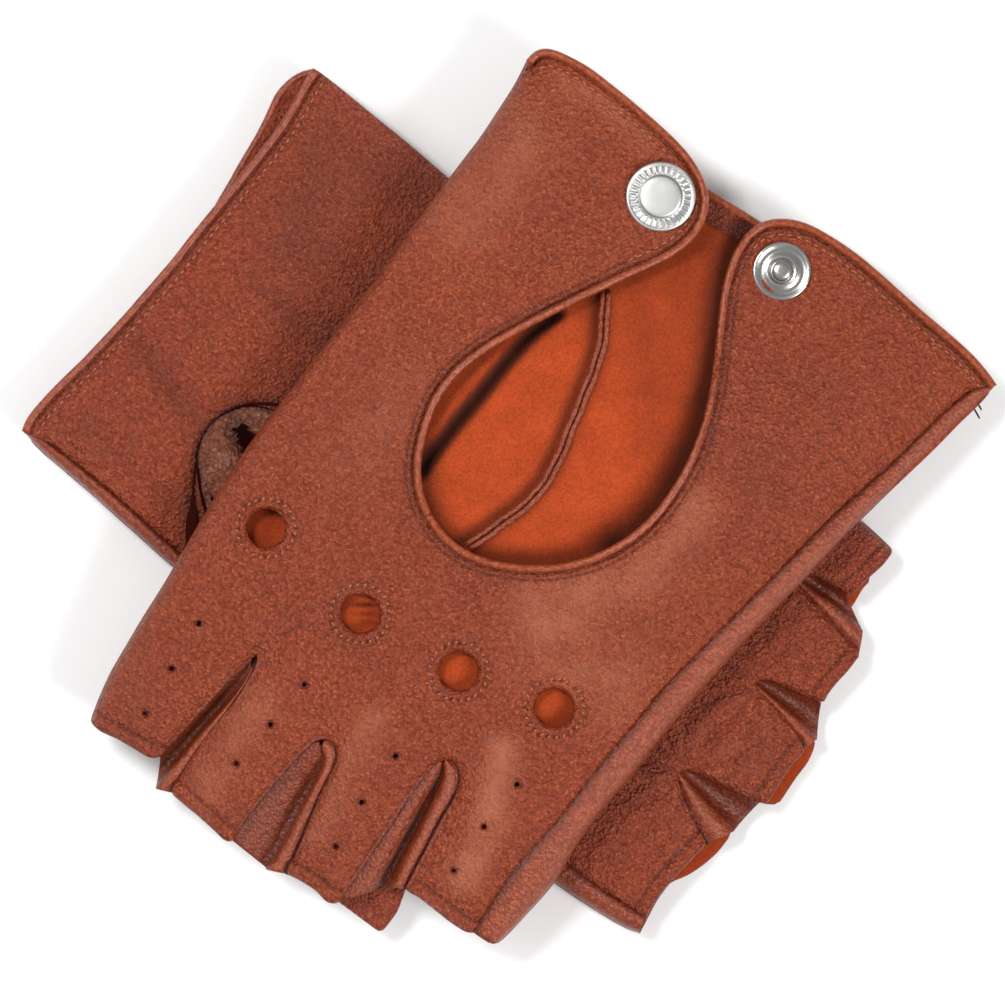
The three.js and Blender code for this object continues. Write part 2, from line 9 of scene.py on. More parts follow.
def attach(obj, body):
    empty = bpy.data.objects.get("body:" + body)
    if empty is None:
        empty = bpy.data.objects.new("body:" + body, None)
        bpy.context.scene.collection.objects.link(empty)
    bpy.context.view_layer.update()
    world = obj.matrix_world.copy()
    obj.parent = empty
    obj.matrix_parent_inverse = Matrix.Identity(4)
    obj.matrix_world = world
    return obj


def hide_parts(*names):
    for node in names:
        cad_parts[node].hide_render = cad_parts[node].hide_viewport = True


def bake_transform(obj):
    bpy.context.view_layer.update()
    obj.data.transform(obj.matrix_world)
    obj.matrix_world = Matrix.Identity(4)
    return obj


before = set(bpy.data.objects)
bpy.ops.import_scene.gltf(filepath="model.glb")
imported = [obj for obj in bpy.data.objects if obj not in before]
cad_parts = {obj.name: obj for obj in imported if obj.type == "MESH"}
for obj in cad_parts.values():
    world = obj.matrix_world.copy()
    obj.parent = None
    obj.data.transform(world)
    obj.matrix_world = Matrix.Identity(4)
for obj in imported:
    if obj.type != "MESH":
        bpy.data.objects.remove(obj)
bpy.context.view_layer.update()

TAB = {
 "L": {
  "edgeIndex": [[4.03,94.83],[2.72,92.0],[0.98,88.74],[-1.2,85.47],[-3.37,82.21],[-5.33,78.94],[-8.16,75.24],[-10.56,72.19],[-12.74,69.15],[-16.65,64.14],[-20.35,59.13],[-23.62,54.56],[-29.06,46.94],[-36.25,37.58],[-43.21,28.65],[-50.4,19.07],[-56.28,11.46],[-61.5,3.4],[-66.51,-4.65],[-70.64,-11.84],[-74.56,-18.59],[-78.92,-25.34],[-82.83,-31.87],[-86.75,-38.4],[-89.58,-44.71],[-91.11,-48.85]],
  "edgeLittle": [[106.35,24.52],[103.73,21.69],[101.56,19.29],[98.51,16.68],[95.46,13.41],[92.2,10.15],[88.71,6.88],[85.23,3.62],[81.75,0.35],[78.48,-2.91],[74.34,-6.83],[68.9,-12.49],[63.46,-18.59],[58.02,-24.03],[52.57,-29.69],[47.13,-35.79],[41.69,-42.1],[37.34,-46.89],[32.98,-52.33],[28.63,-57.99],[24.27,-63.0],[19.92,-68.44],[15.57,-74.1],[12.08,-79.98],[9.69,-84.11],[6.42,-87.82],[3.59,-90.86],[0.54,-94.35],[-2.07,-96.96]],
  "seamLittle": [[101.56,23.43],[97.2,20.38],[93.5,16.9],[89.58,12.98],[84.14,7.54],[78.7,2.75],[74.34,-0.95],[68.9,-6.18],[63.46,-11.62],[58.02,-17.06],[52.57,-22.51],[47.13,-27.95],[41.69,-33.61],[35.16,-40.36],[31.89,-44.28],[28.63,-48.19],[24.27,-53.2],[19.92,-58.43],[15.57,-64.09],[11.21,-69.75],[6.86,-74.75],[2.5,-79.54],[-0.76,-84.33],[-3.59,-88.69],[-5.55,-91.95],[-7.29,-94.56]],
  "capLobe": [[4.03,94.83],[5.33,96.79],[7.51,97.66],[10.34,97.01],[13.82,95.27],[17.74,93.09],[22.1,89.61],[26.45,86.13],[30.8,82.43],[34.72,78.94],[37.77,75.89],[40.17,72.85],[41.91,69.8],[43.0,66.97],[43.43,64.14],[43.0,61.31],[41.91,58.48],[39.95,55.87],[37.34,53.69],[34.07,51.51],[29.72,49.55],[25.36,47.59]],
  "keyhole": [[21.01,45.42],[15.57,42.8],[11.21,40.63],[6.86,38.45],[2.5,36.06],[-1.85,33.66],[-6.2,30.83],[-10.12,27.78],[-13.17,24.3],[-15.57,20.6],[-17.31,16.03],[-18.61,11.46],[-19.27,7.1],[-19.05,2.75],[-18.18,-0.95],[-16.44,-4.44],[-14.04,-7.7],[-10.99,-10.53],[-7.51,-12.49],[-3.59,-13.8],[1.42,-14.67],[6.86,-14.89],[12.3,-14.45],[17.31,-13.14],[21.66,-11.19],[26.02,-8.57],[29.72,-5.53],[32.98,-1.82],[36.03,2.53],[38.64,7.1],[40.82,12.11],[42.56,17.33],[43.87,22.99],[44.74,28.87],[45.39,34.75],[46.04,40.41],[46.7,45.2],[47.79,49.55],[49.09,53.04]],
  "studLobe": [[50.83,56.08],[52.79,58.48],[55.19,60.0],[58.02,60.66],[61.28,60.66],[64.77,59.78],[68.25,58.04],[72.17,55.65],[76.52,52.6],[80.88,48.9],[85.23,44.98],[89.58,41.06],[93.94,37.36],[98.29,33.66],[101.77,30.4],[104.39,27.35],[106.35,24.52]],
  "backFingers": [[[-7.29,-94.56],[-9.47,-94.13],[-12.74,-91.95],[-16.0,-89.34],[-19.27,-86.73],[-21.88,-85.42]],[[-37.34,-88.25],[-39.29,-88.03],[-42.12,-84.99],[-45.39,-83.03],[-48.22,-81.72]],[[-60.19,-74.75],[-61.5,-74.75],[-63.89,-72.36],[-67.16,-69.31],[-70.43,-66.7],[-73.26,-64.3]],[[-76.3,-56.47],[-78.05,-56.47],[-81.31,-54.51],[-85.01,-52.33],[-88.71,-50.81],[-91.11,-48.85]]],
  "backNotches": [[[-22.53,-84.77],[-21.01,-81.72],[-19.27,-78.45],[-17.09,-74.32],[-14.91,-69.96],[-12.3,-65.83],[-10.56,-62.56],[-10.34,-59.73],[-11.43,-57.34],[-13.39,-56.47],[-15.78,-57.56],[-18.18,-60.39],[-20.35,-63.65],[-23.62,-68.44],[-26.89,-73.45],[-29.72,-77.8],[-33.2,-83.03],[-35.81,-86.73]],[[-46.91,-78.45],[-45.39,-74.97],[-43.21,-69.75],[-41.04,-64.74],[-38.86,-60.39],[-37.34,-57.56],[-36.9,-55.16],[-37.99,-52.98],[-39.95,-52.11],[-42.34,-53.2],[-44.74,-55.6],[-47.57,-58.64],[-50.83,-62.56],[-54.1,-66.48],[-57.15,-70.18],[-59.11,-73.23]],[[-71.95,-61.04],[-69.34,-56.47],[-66.07,-51.9],[-62.81,-47.76],[-59.11,-43.62],[-56.93,-40.14],[-54.97,-36.44],[-54.32,-33.61],[-55.84,-34.91],[-58.45,-37.74],[-62.37,-41.88],[-66.73,-46.45],[-71.08,-51.24],[-74.34,-54.73]]],
  "palmCuff": [[5.99,90.92],[11.21,87.65],[19.92,82.21],[30.8,75.02],[43.0,67.62],[49.31,63.7],[55.19,60.0],[63.46,54.56],[74.34,47.59],[85.23,40.63],[96.11,33.23],[103.73,26.48]],
  "palmFingers": [[[-2.07,-96.96],[-3.59,-97.61],[-6.64,-95.65],[-9.47,-93.48],[-12.74,-90.86],[-17.09,-87.38],[-20.57,-86.07]],[[-24.49,-90.65],[-27.97,-95.22],[-32.33,-91.95],[-37.34,-88.25],[-43.21,-84.77],[-47.57,-82.59],[-49.53,-82.37]],[[-53.45,-80.63],[-57.36,-77.37],[-60.19,-74.54],[-63.89,-71.92],[-69.34,-67.57],[-72.39,-64.52]],[[-75.22,-57.12],[-78.05,-56.03],[-81.31,-54.07],[-85.01,-51.9],[-88.71,-50.37],[-90.89,-48.63]]],
  "palmNotches": [[[-15.78,-65.83]],[[-41.47,-60.39]],[[-58.45,-41.88]]],
  "webs": [[[-22.53,-84.77],[-21.01,-81.72],[-19.27,-78.45],[-17.09,-74.32],[-14.91,-69.96],[-12.3,-65.83],[-10.56,-62.56],[-10.34,-59.73],[-11.43,-57.34],[-13.39,-56.47],[-15.78,-57.56],[-18.18,-60.39],[-20.35,-63.65],[-23.62,-68.44],[-26.89,-73.45],[-29.72,-77.8],[-33.2,-83.03],[-35.81,-86.73]],[[-46.91,-78.45],[-45.39,-74.97],[-43.21,-69.75],[-41.04,-64.74],[-38.86,-60.39],[-37.34,-57.56],[-36.9,-55.16],[-37.99,-52.98],[-39.95,-52.11],[-42.34,-53.2],[-44.74,-55.6],[-47.57,-58.64],[-50.83,-62.56],[-54.1,-66.48],[-57.15,-70.18],[-59.11,-73.23]],[[-71.95,-61.04],[-66.07,-51.9],[-59.11,-43.62],[-54.97,-36.44],[-54.1,-33.61],[-55.84,-32.74],[-57.15,-34.91],[-62.37,-41.88],[-71.08,-51.24],[-74.34,-54.73]]],
  "knuckles": [[-52.57,-6.61],[-32.11,-25.12],[-10.78,-37.64],[9.91,-45.58]],
  "cap": [[32.98,65.23]],
  "stud": [[59.55,49.34]],
  "pivot": [[2.07,-16.63]],
  "thumbBase": [[-1.85,14.72]],
  "thumbTip": [[3.37,-10.88]],
  "seamIndex": [[5.91,93.97],[4.57,91.08],[2.75,87.67],[0.52,84.33],[-1.63,81.1],[-3.63,77.77],[-6.53,73.98],[-8.9,70.95],[-11.09,67.9],[-15.01,62.89],[-18.68,57.92],[-21.94,53.36],[-27.4,45.71],[-34.61,36.31],[-41.57,27.4],[-48.75,17.82],[-54.59,10.26],[-59.75,2.29],[-64.73,-5.72],[-68.85,-12.87],[-72.8,-19.67],[-77.16,-26.43],[-81.06,-32.93],[-84.92,-39.36],[-87.67,-45.51],[-89.17,-49.56]],
  "vents": [[-67.16,-27.3],[-73.04,-37.09],[-78.92,-46.89],[-44.3,-40.57],[-51.7,-49.28],[-59.11,-57.77],[-24.49,-56.03],[-31.89,-66.05],[-37.55,-75.84],[1.85,-62.13],[-5.33,-71.27],[-11.86,-80.85]],
  "welt": [[21.01,44.98],[20.79,38.67],[20.35,33.23],[19.05,28.87],[17.31,24.52],[15.13,19.07],[12.95,13.63],[10.78,8.19],[8.38,3.84],[5.12,-0.52],[0.33,-4.22],[-4.03,-7.27],[-8.82,-10.75]],
  "fold": [[10.34,39.97],[4.68,35.4],[-0.76,29.31],[-6.2,22.34],[-12.3,15.16],[-19.05,6.01]],
  "web3": [[[-55.84,-34.91],[-58.45,-37.74],[-62.37,-41.88],[-66.73,-46.45],[-71.08,-51.24],[-74.34,-54.73],[-75.87,-56.47]],[[-56.28,-38.4],[-58.45,-41.88],[-62.37,-46.45],[-67.16,-51.68],[-71.95,-57.56],[-75.22,-61.26],[-76.96,-63.43]],[[-54.32,-33.61],[-54.97,-36.44],[-56.28,-39.7],[-61.06,-46.67],[-63.89,-50.59],[-67.16,-54.94],[-70.43,-59.73],[-73.47,-64.3]]],
  "web2": [[[-41.25,-52.98],[-44.74,-55.6],[-47.57,-58.64],[-50.83,-62.56],[-54.1,-66.48],[-57.15,-70.18],[-60.19,-74.75]],[[-40.6,-54.51],[-39.73,-56.47],[-40.6,-59.3],[-42.78,-63.65],[-45.39,-68.44],[-48.0,-73.67],[-50.83,-79.33],[-52.79,-81.07]],[[-39.95,-52.11],[-37.99,-52.98],[-36.9,-55.16],[-37.34,-57.56],[-38.86,-60.39],[-41.04,-64.74],[-43.21,-69.75],[-45.39,-74.97],[-46.91,-78.45],[-48.66,-81.94]]],
  "web1": [[[-14.69,-56.9],[-18.18,-60.39],[-20.35,-63.65],[-23.62,-68.44],[-26.89,-73.45],[-29.72,-77.8],[-33.2,-83.03],[-37.12,-88.03]],[[-14.04,-57.56],[-13.61,-60.39],[-15.78,-65.39],[-18.18,-70.18],[-20.35,-74.54],[-22.75,-79.33],[-25.14,-84.55]],[[-13.39,-56.47],[-11.43,-57.34],[-10.34,-59.73],[-10.56,-62.56],[-12.3,-65.83],[-14.91,-69.96],[-17.09,-74.32],[-19.27,-78.45],[-21.01,-81.72],[-22.75,-85.2]]],
 },
 "R": {
  "edgeIndex": [[-106.35,14.5],[-104.6,12.11],[-102.86,10.37],[-98.73,7.1],[-95.03,3.84],[-91.11,0.57],[-87.62,-2.7],[-83.92,-5.96],[-80.22,-9.23],[-76.74,-12.49],[-73.04,-15.54],[-62.81,-24.25],[-51.92,-33.61],[-41.04,-42.97],[-30.15,-52.33],[-19.27,-61.47],[-8.38,-70.18],[0.33,-77.15],[8.6,-83.46],[14.26,-87.6],[19.48,-90.86],[24.71,-94.13],[28.85,-95.87]],
  "edgeLittle": [[-42.56,93.96],[-39.95,92.0],[-35.59,88.52],[-31.89,85.47],[-27.97,82.21],[-23.84,78.94],[-19.92,75.68],[-16.44,72.63],[-12.95,69.58],[-1.85,60.44],[9.03,51.29],[19.92,42.37],[30.8,33.23],[41.69,24.3],[52.57,15.37],[63.46,6.45],[72.17,-0.74],[76.52,-4.44],[80.88,-8.14],[84.36,-11.62]],
  "seamLittle": [[-44.13,91.87],[-41.6,89.88],[-37.37,86.33],[-33.77,83.21],[-29.9,79.83],[-25.84,76.47],[-22.06,73.16],[-18.68,70.06],[-15.21,66.88],[-4.32,57.47],[6.35,48.06],[17.02,38.88],[27.69,29.48],[38.39,20.27],[49.06,11.09],[59.73,1.91],[68.23,-5.45],[72.46,-9.22],[76.54,-12.87],[79.74,-16.24]],
  "capLobe": [[-97.66,6.66],[-99.52,8.1],[-100.45,10.16],[-100.04,12.62],[-98.67,15.53],[-96.92,18.79],[-94.0,22.3],[-91.07,25.81],[-87.94,29.29],[-84.98,32.42],[-82.37,34.81],[-79.71,36.62],[-77.0,37.85],[-74.46,38.51],[-71.86,38.6],[-69.22,37.9],[-66.53,36.62],[-63.99,34.57],[-61.82,31.96],[-59.64,28.75],[-57.68,24.57],[-55.86,20.42]],
  "keyhole": [[-53.97,16.28],[-51.86,11.12],[-50.19,6.98],[-48.59,2.83],[-46.86,-1.36],[-45.16,-5.56],[-43.08,-9.82],[-40.74,-13.69],[-37.86,-16.74],[-34.64,-19.18],[-30.44,-21.01],[-26.06,-22.42],[-21.76,-23.19],[-17.41,-23.05],[-13.69,-22.24],[-10.18,-20.57],[-6.88,-18.23],[-3.99,-15.24],[-1.97,-11.79],[-0.6,-7.9],[0.36,-2.91],[0.67,2.52],[0.33,7.96],[-0.87,12.91],[-2.67,17.11],[-5.05,21.17],[-7.82,24.5],[-11.18,27.3],[-15.14,29.81],[-19.28,31.89],[-23.83,33.59],[-28.59,34.95],[-33.77,36.02],[-39.16,36.85],[-44.6,37.64],[-49.9,38.58],[-54.45,39.59],[-58.6,40.98],[-61.94,42.49]],
  "studLobe": [[-64.89,44.36],[-67.26,46.35],[-68.84,48.64],[-69.65,51.22],[-69.88,54.13],[-63.24,65.88],[-61.28,69.15],[-59.54,72.41],[-57.58,75.68],[-55.62,78.94],[-53.88,82.21],[-52.36,85.47],[-51.05,88.74],[-48.66,91.35],[-45.39,93.53],[-42.56,93.96]],
  "backFingers": [[[80.0,-18.15],[78.26,-19.46],[76.09,-23.38],[73.91,-26.21]],[[77.39,-33.61],[74.34,-37.74],[71.51,-40.79],[69.56,-43.41]],[[67.81,-53.85],[66.07,-58.21],[63.46,-61.47],[61.28,-64.74],[59.54,-67.57],[57.36,-67.57]],[[49.31,-73.88],[46.04,-78.24],[42.78,-81.07],[39.51,-83.24],[35.59,-84.77],[32.55,-88.9],[30.37,-93.04],[28.85,-95.87]]],
  "backNotches": [[[61.28,-20.11]],[[52.14,-41.88]],[[35.59,-61.91]]],
  "palmCuff": [[-106.35,14.5],[-105.91,16.68],[-102.86,20.38],[-99.82,23.65],[-96.55,26.91],[-93.07,30.18],[-90.24,33.23],[-87.19,36.49],[-84.14,39.76],[-81.31,43.02],[-78.48,46.29],[-75.65,49.55],[-72.82,52.82],[-70.43,56.08],[-67.6,59.57],[-64.98,62.83],[-62.37,65.88],[-58.45,70.67],[-54.1,76.11],[-49.74,81.77],[-46.7,87.0],[-44.74,90.92],[-42.56,93.96]],
  "palmFingers": [[[84.36,-11.62],[81.75,-14.89],[78.7,-17.5],[76.09,-20.11],[74.56,-21.85]],[[76.96,-34.26],[74.34,-37.74],[71.51,-40.79],[69.56,-43.41]],[[64.77,-55.38],[61.94,-58.43],[59.98,-61.26],[58.23,-64.3],[56.49,-67.13]],[[43.21,-75.84],[41.04,-78.02],[38.86,-80.41],[35.81,-83.46],[32.98,-86.95],[30.8,-90.21],[29.72,-93.04],[28.85,-95.87]]],
  "palmNotches": [[[73.91,-20.55],[69.99,-18.37],[66.07,-16.41],[64.11,-16.85],[63.46,-18.8],[65.2,-20.98],[67.81,-23.81],[71.08,-27.51],[74.34,-31.21]],[[69.12,-44.93],[65.64,-43.62],[61.28,-41.66],[57.36,-39.92],[54.75,-39.7],[53.88,-41.01],[55.84,-42.97],[59.11,-46.45],[62.37,-50.59]],[[54.75,-66.48],[50.4,-64.74],[46.04,-62.56],[41.69,-60.39],[38.64,-59.3],[37.12,-60.6],[37.34,-63.22],[38.64,-66.26],[40.38,-70.18],[41.91,-73.23]]],
  "webs": [[[73.91,-20.55],[66.07,-16.41],[63.46,-16.19],[62.37,-17.72],[63.46,-19.68],[74.34,-31.21]],[[69.12,-44.93],[61.28,-41.45],[54.75,-39.05],[53.01,-40.57],[55.84,-43.62],[62.37,-50.59]],[[54.75,-66.48],[46.04,-62.34],[38.21,-58.64],[36.25,-60.39],[37.55,-64.09],[41.91,-73.23]]],
  "knuckles": [[-8.65,-56.71],[10.2,-36.6],[23.09,-15.5],[31.4,5.02]],
  "cap": [[-71.42,28.97]],
  "stud": [[-58.01,50.38]],
  "pivot": [[2.33,-2.3]],
  "thumbBase": [[-56.28,8.19]],
  "thumbTip": [[-37.67,-6.87]],
  "seamIndex": [[-101.56,12.33],[-97.64,9.71],[-93.28,6.01],[-88.93,2.53],[-84.58,-1.17],[-80.22,-5.09],[-75.87,-9.01],[-71.51,-12.93],[-60.63,-22.07],[-49.74,-31.43],[-38.86,-40.79],[-27.97,-49.94],[-17.09,-58.86],[-6.2,-67.35],[4.68,-74.97],[11.65,-79.33],[17.74,-84.33],[24.27,-88.69],[30.15,-92.17]],
  "vents": [[11.75,-71.65],[21.44,-77.7],[31.12,-83.75],[25.43,-49.05],[34.0,-56.6],[42.35,-64.15],[41.22,-29.53],[51.1,-37.11],[60.79,-42.94],[47.78,-3.32],[56.79,-10.66],[66.24,-17.36]],
  "web1": [[[63.89,-16.19],[66.07,-16.41],[69.99,-18.37],[73.91,-20.55]],[[63.46,-17.93],[66.07,-19.68],[71.08,-23.16],[77.83,-29.25]],[[63.02,-18.8],[65.2,-21.42],[67.81,-24.25],[71.08,-27.95],[76.96,-34.48]]],
  "web2": [[[54.32,-39.49],[57.36,-39.92],[61.28,-41.45],[65.64,-43.41],[68.68,-45.15]],[[53.88,-40.57],[57.36,-43.41],[62.37,-47.54],[67.81,-52.98]],[[53.66,-41.45],[55.84,-43.62],[59.11,-47.11],[65.2,-54.94]]],
  "web3": [[[37.99,-58.86],[41.69,-60.17],[46.04,-62.34],[50.83,-64.74],[55.19,-66.92]],[[37.34,-59.95],[39.95,-63.0],[44.3,-68.01],[49.53,-73.23]],[[36.9,-61.04],[38.21,-64.74],[39.95,-69.09],[42.34,-74.1],[43.43,-76.28]]],
  "thumbSeam": [[-50.4,20.16],[-55.19,20.16],[-59.54,19.51],[-63.24,17.33],[-66.07,14.29],[-67.6,10.37],[-68.47,6.01],[-68.03,1.66],[-67.16,-2.7],[-66.51,-7.05]],
  "backCuff": [[-63.24,65.88],[-61.28,69.15],[-59.54,72.41],[-57.58,75.68],[-55.62,78.94],[-53.88,82.21],[-52.36,85.47],[-51.05,88.74],[-48.66,91.35],[-45.39,93.53],[-42.56,93.96]],
 },
}

# ---------------------------------------------------------------- dimensions (mm)
LEATHER = 0.9
HEIGHT = 9.6
LOBE_DROP = 5.6
KNUCKLE_R = 4.4
RIGHT_TOP = 11.1
LEFT_BASE = 14.7
CAP_R = 7.6
STUD_R = 6.4

# ---------------------------------------------------------------- plan helpers
def arr(l):
    return np.array(l, float)

def clean(p):
    keep = [0]
    for i in range(1, len(p)):
        if np.hypot(*(p[i] - p[keep[-1]])) > 0.05:
            keep.append(i)
    return p[keep]

def lengths(p):
    return np.concatenate([[0], np.cumsum(np.hypot(*(p[1:] - p[:-1]).T))])

def resample(p, step, n=None):
    p = clean(arr(p)) if len(p) > 1 else arr(p)
    s = lengths(p)
    if n is None:
        n = max(2, int(round(s[-1] / step)) + 1)
    t = np.linspace(0, s[-1], n)
    return np.stack([np.interp(t, s, p[:, k]) for k in range(p.shape[1])], 1)

def soften(p, rounds=2, step=1.0):
    """A smooth line through an open measured line, ends kept."""
    q = resample(p, step)
    for _ in range(rounds * 3):
        if len(q) < 4:
            break
        r = q.copy()
        r[1:-1] = 0.25 * q[:-2] + 0.5 * q[1:-1] + 0.25 * q[2:]
        q = r
    return q

def normals(p):
    t = np.gradient(p[:, :2], axis=0)
    l = np.hypot(t[:, 0], t[:, 1])
    l[l < 1e-9] = 1
    t = t / l[:, None]
    return np.stack([-t[:, 1], t[:, 0]], 1)

def offset(p, d):
    return p + normals(p) * d

def dist(q, line, closed=False):
    """Distance of the points q to a line, the length along it, and which side (+1 left)."""
    line = arr(line)
    if closed:
        line = np.vstack([line, line[:1]])
    best = np.full(len(q), 1e12)
    along = np.zeros(len(q))
    side = np.zeros(len(q))
    run = 0.0
    for a, b in zip(line[:-1], line[1:]):
        ab = b - a
        l2 = float(ab @ ab)
        if l2 < 1e-12:
            continue
        w = q - a
        t = np.clip((w @ ab) / l2, 0, 1)
        dx = w[:, 0] - t * ab[0]
        dy = w[:, 1] - t * ab[1]
        d = dx * dx + dy * dy
        m = d < best
        best[m] = d[m]
        along[m] = run + t[m] * math.sqrt(l2)
        side[m] = np.sign(ab[0] * w[m, 1] - ab[1] * w[m, 0])
        run += math.sqrt(l2)
    return np.sqrt(best), along, side

def inside(q, loop):
    c = np.zeros(len(q), bool)
    a = loop
    b = np.roll(loop, -1, axis=0)
    for (x1, y1), (x2, y2) in zip(a, b):
        if y1 == y2:
            continue
        m = (y1 > q[:, 1]) != (y2 > q[:, 1])
        if m.any():
            x = (x2 - x1) * (q[m, 1] - y1) / (y2 - y1) + x1
            idx = np.nonzero(m)[0]
            c[idx] ^= q[m, 0] < x
    return c

def sstep(x, a, b):
    t = np.clip((x - a) / (b - a), 0, 1)
    return t * t * (3 - 2 * t)

def bell(x, w):
    return np.exp(-(x / w) ** 2)

def roll(d, r):
    """How far a surface has turned down at a distance d from an edge rolled with radius r."""
    t = np.clip(r - d, 0, r)
    return r - np.sqrt(np.maximum(r * r - t * t, 0))

def nz(p, scale, seed=0.0, octaves=2):
    """Smooth noise, about -1 to 1, over plan points; scale is the feature size in mm."""
    out = np.empty(len(p))
    for i, (x, y) in enumerate(p):
        v = noise.noise((x / scale + seed, y / scale - seed * 1.7, seed))
        if octaves > 1:
            v += 0.5 * noise.noise((2.1 * x / scale + seed, 2.1 * y / scale, seed + 9.3))
        out[i] = v
    return out

# ---------------------------------------------------------------- meshes
M = 0.001
MATS = {}
HAND = {}

def make(name, verts, faces, mats, body=None, slot=None, replaces=(), matidx=None, shade=None, blend=None, normals_=None, smooth=True):
    me = bpy.data.meshes.new(name)
    me.from_pydata((np.asarray(verts) * M).tolist(), [], faces)
    for m in mats:
        me.materials.append(MATS[m])
    if matidx is not None:
        me.polygons.foreach_set("material_index", np.asarray(matidx, np.int32))
    me.polygons.foreach_set("use_smooth", np.full(len(me.polygons), smooth))
    a = me.attributes.new("shade", "FLOAT", "POINT")
    a.data.foreach_set("value", (np.ones(len(verts)) if shade is None else np.asarray(shade)).astype(np.float32))
    me.update()
    if normals_ is not None:
        me.normals_split_custom_set_from_vertices(np.asarray(normals_, np.float32).tolist())
    ob = bpy.data.objects.new(name, me)
    bpy.context.scene.collection.objects.link(ob)
    if replaces:
        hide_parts(*replaces)
    if blend:
        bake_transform(ob)
    elif body:
        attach(ob, body)
    return ob

def join_parts(parts):
    """Several (verts, faces, shade) into one."""
    V, F, S, n = [], [], [], 0
    for v, f, s in parts:
        V.append(np.asarray(v))
        F += [[i + n for i in q] for q in f]
        S.append(np.ones(len(v)) * 1.0 if s is None else np.asarray(s))
        n += len(v)
    return np.vstack(V), F, np.concatenate(S)

def grid_faces(n, m, closed_t, caps):
    """Faces over n rings of m points."""
    F = []
    k = m if closed_t else m - 1
    for i in range(n - 1):
        for j in range(k):
            a, b = i * m + j, i * m + (j + 1) % m
            F.append([a, b, b + m, a + m])
    if caps and closed_t:
        F.append(list(range(m))[::-1])
        F.append([(n - 1) * m + j for j in range(m)])
    return F

def loft(rings, closed_t=True, caps=True, flip=False):
    """rings is (n, m, 3): a solid band, each ring closed on itself."""
    r = np.asarray(rings)
    n, m, _ = r.shape
    F = grid_faces(n, m, closed_t, caps)
    if flip:
        F = [f[::-1] for f in F]
    return r.reshape(-1, 3), F, None

def fix_out(parts):
    """Turns a closed lofted part so that its faces point out."""
    v, f, s = parts
    v = np.asarray(v)
    vol = 0.0
    for q in f:
        a = v[q[0]]
        for i in range(1, len(q) - 1):
            vol += float(np.dot(a, np.cross(v[q[i]], v[q[i + 1]])))
    if vol < 0:
        f = [q[::-1] for q in f]
    return v, f, s

def tube(path, w, h, m=10, taper=0.0, phase=0.0):
    """A round or oval cord along a 3-D path (mm); w across in plan, h in height."""
    p = np.asarray(path, float)
    n = np.zeros((len(p), 3))
    n[:, :2] = normals(p)
    ang = np.linspace(0, 2 * np.pi, m, endpoint=False) + phase
    rings = []
    L = lengths(p[:, :2])
    for i in range(len(p)):
        k = 1.0
        if taper:
            e = min(L[i], L[-1] - L[i])
            k = math.sin(min(1.0, e / taper + 0.15) * math.pi / 2)
        rings.append([p[i] + n[i] * (0.5 * w * k * math.cos(a)) + np.array([0, 0, 0.5 * h * k * math.sin(a)]) for a in ang])
    return fix_out(loft(rings))

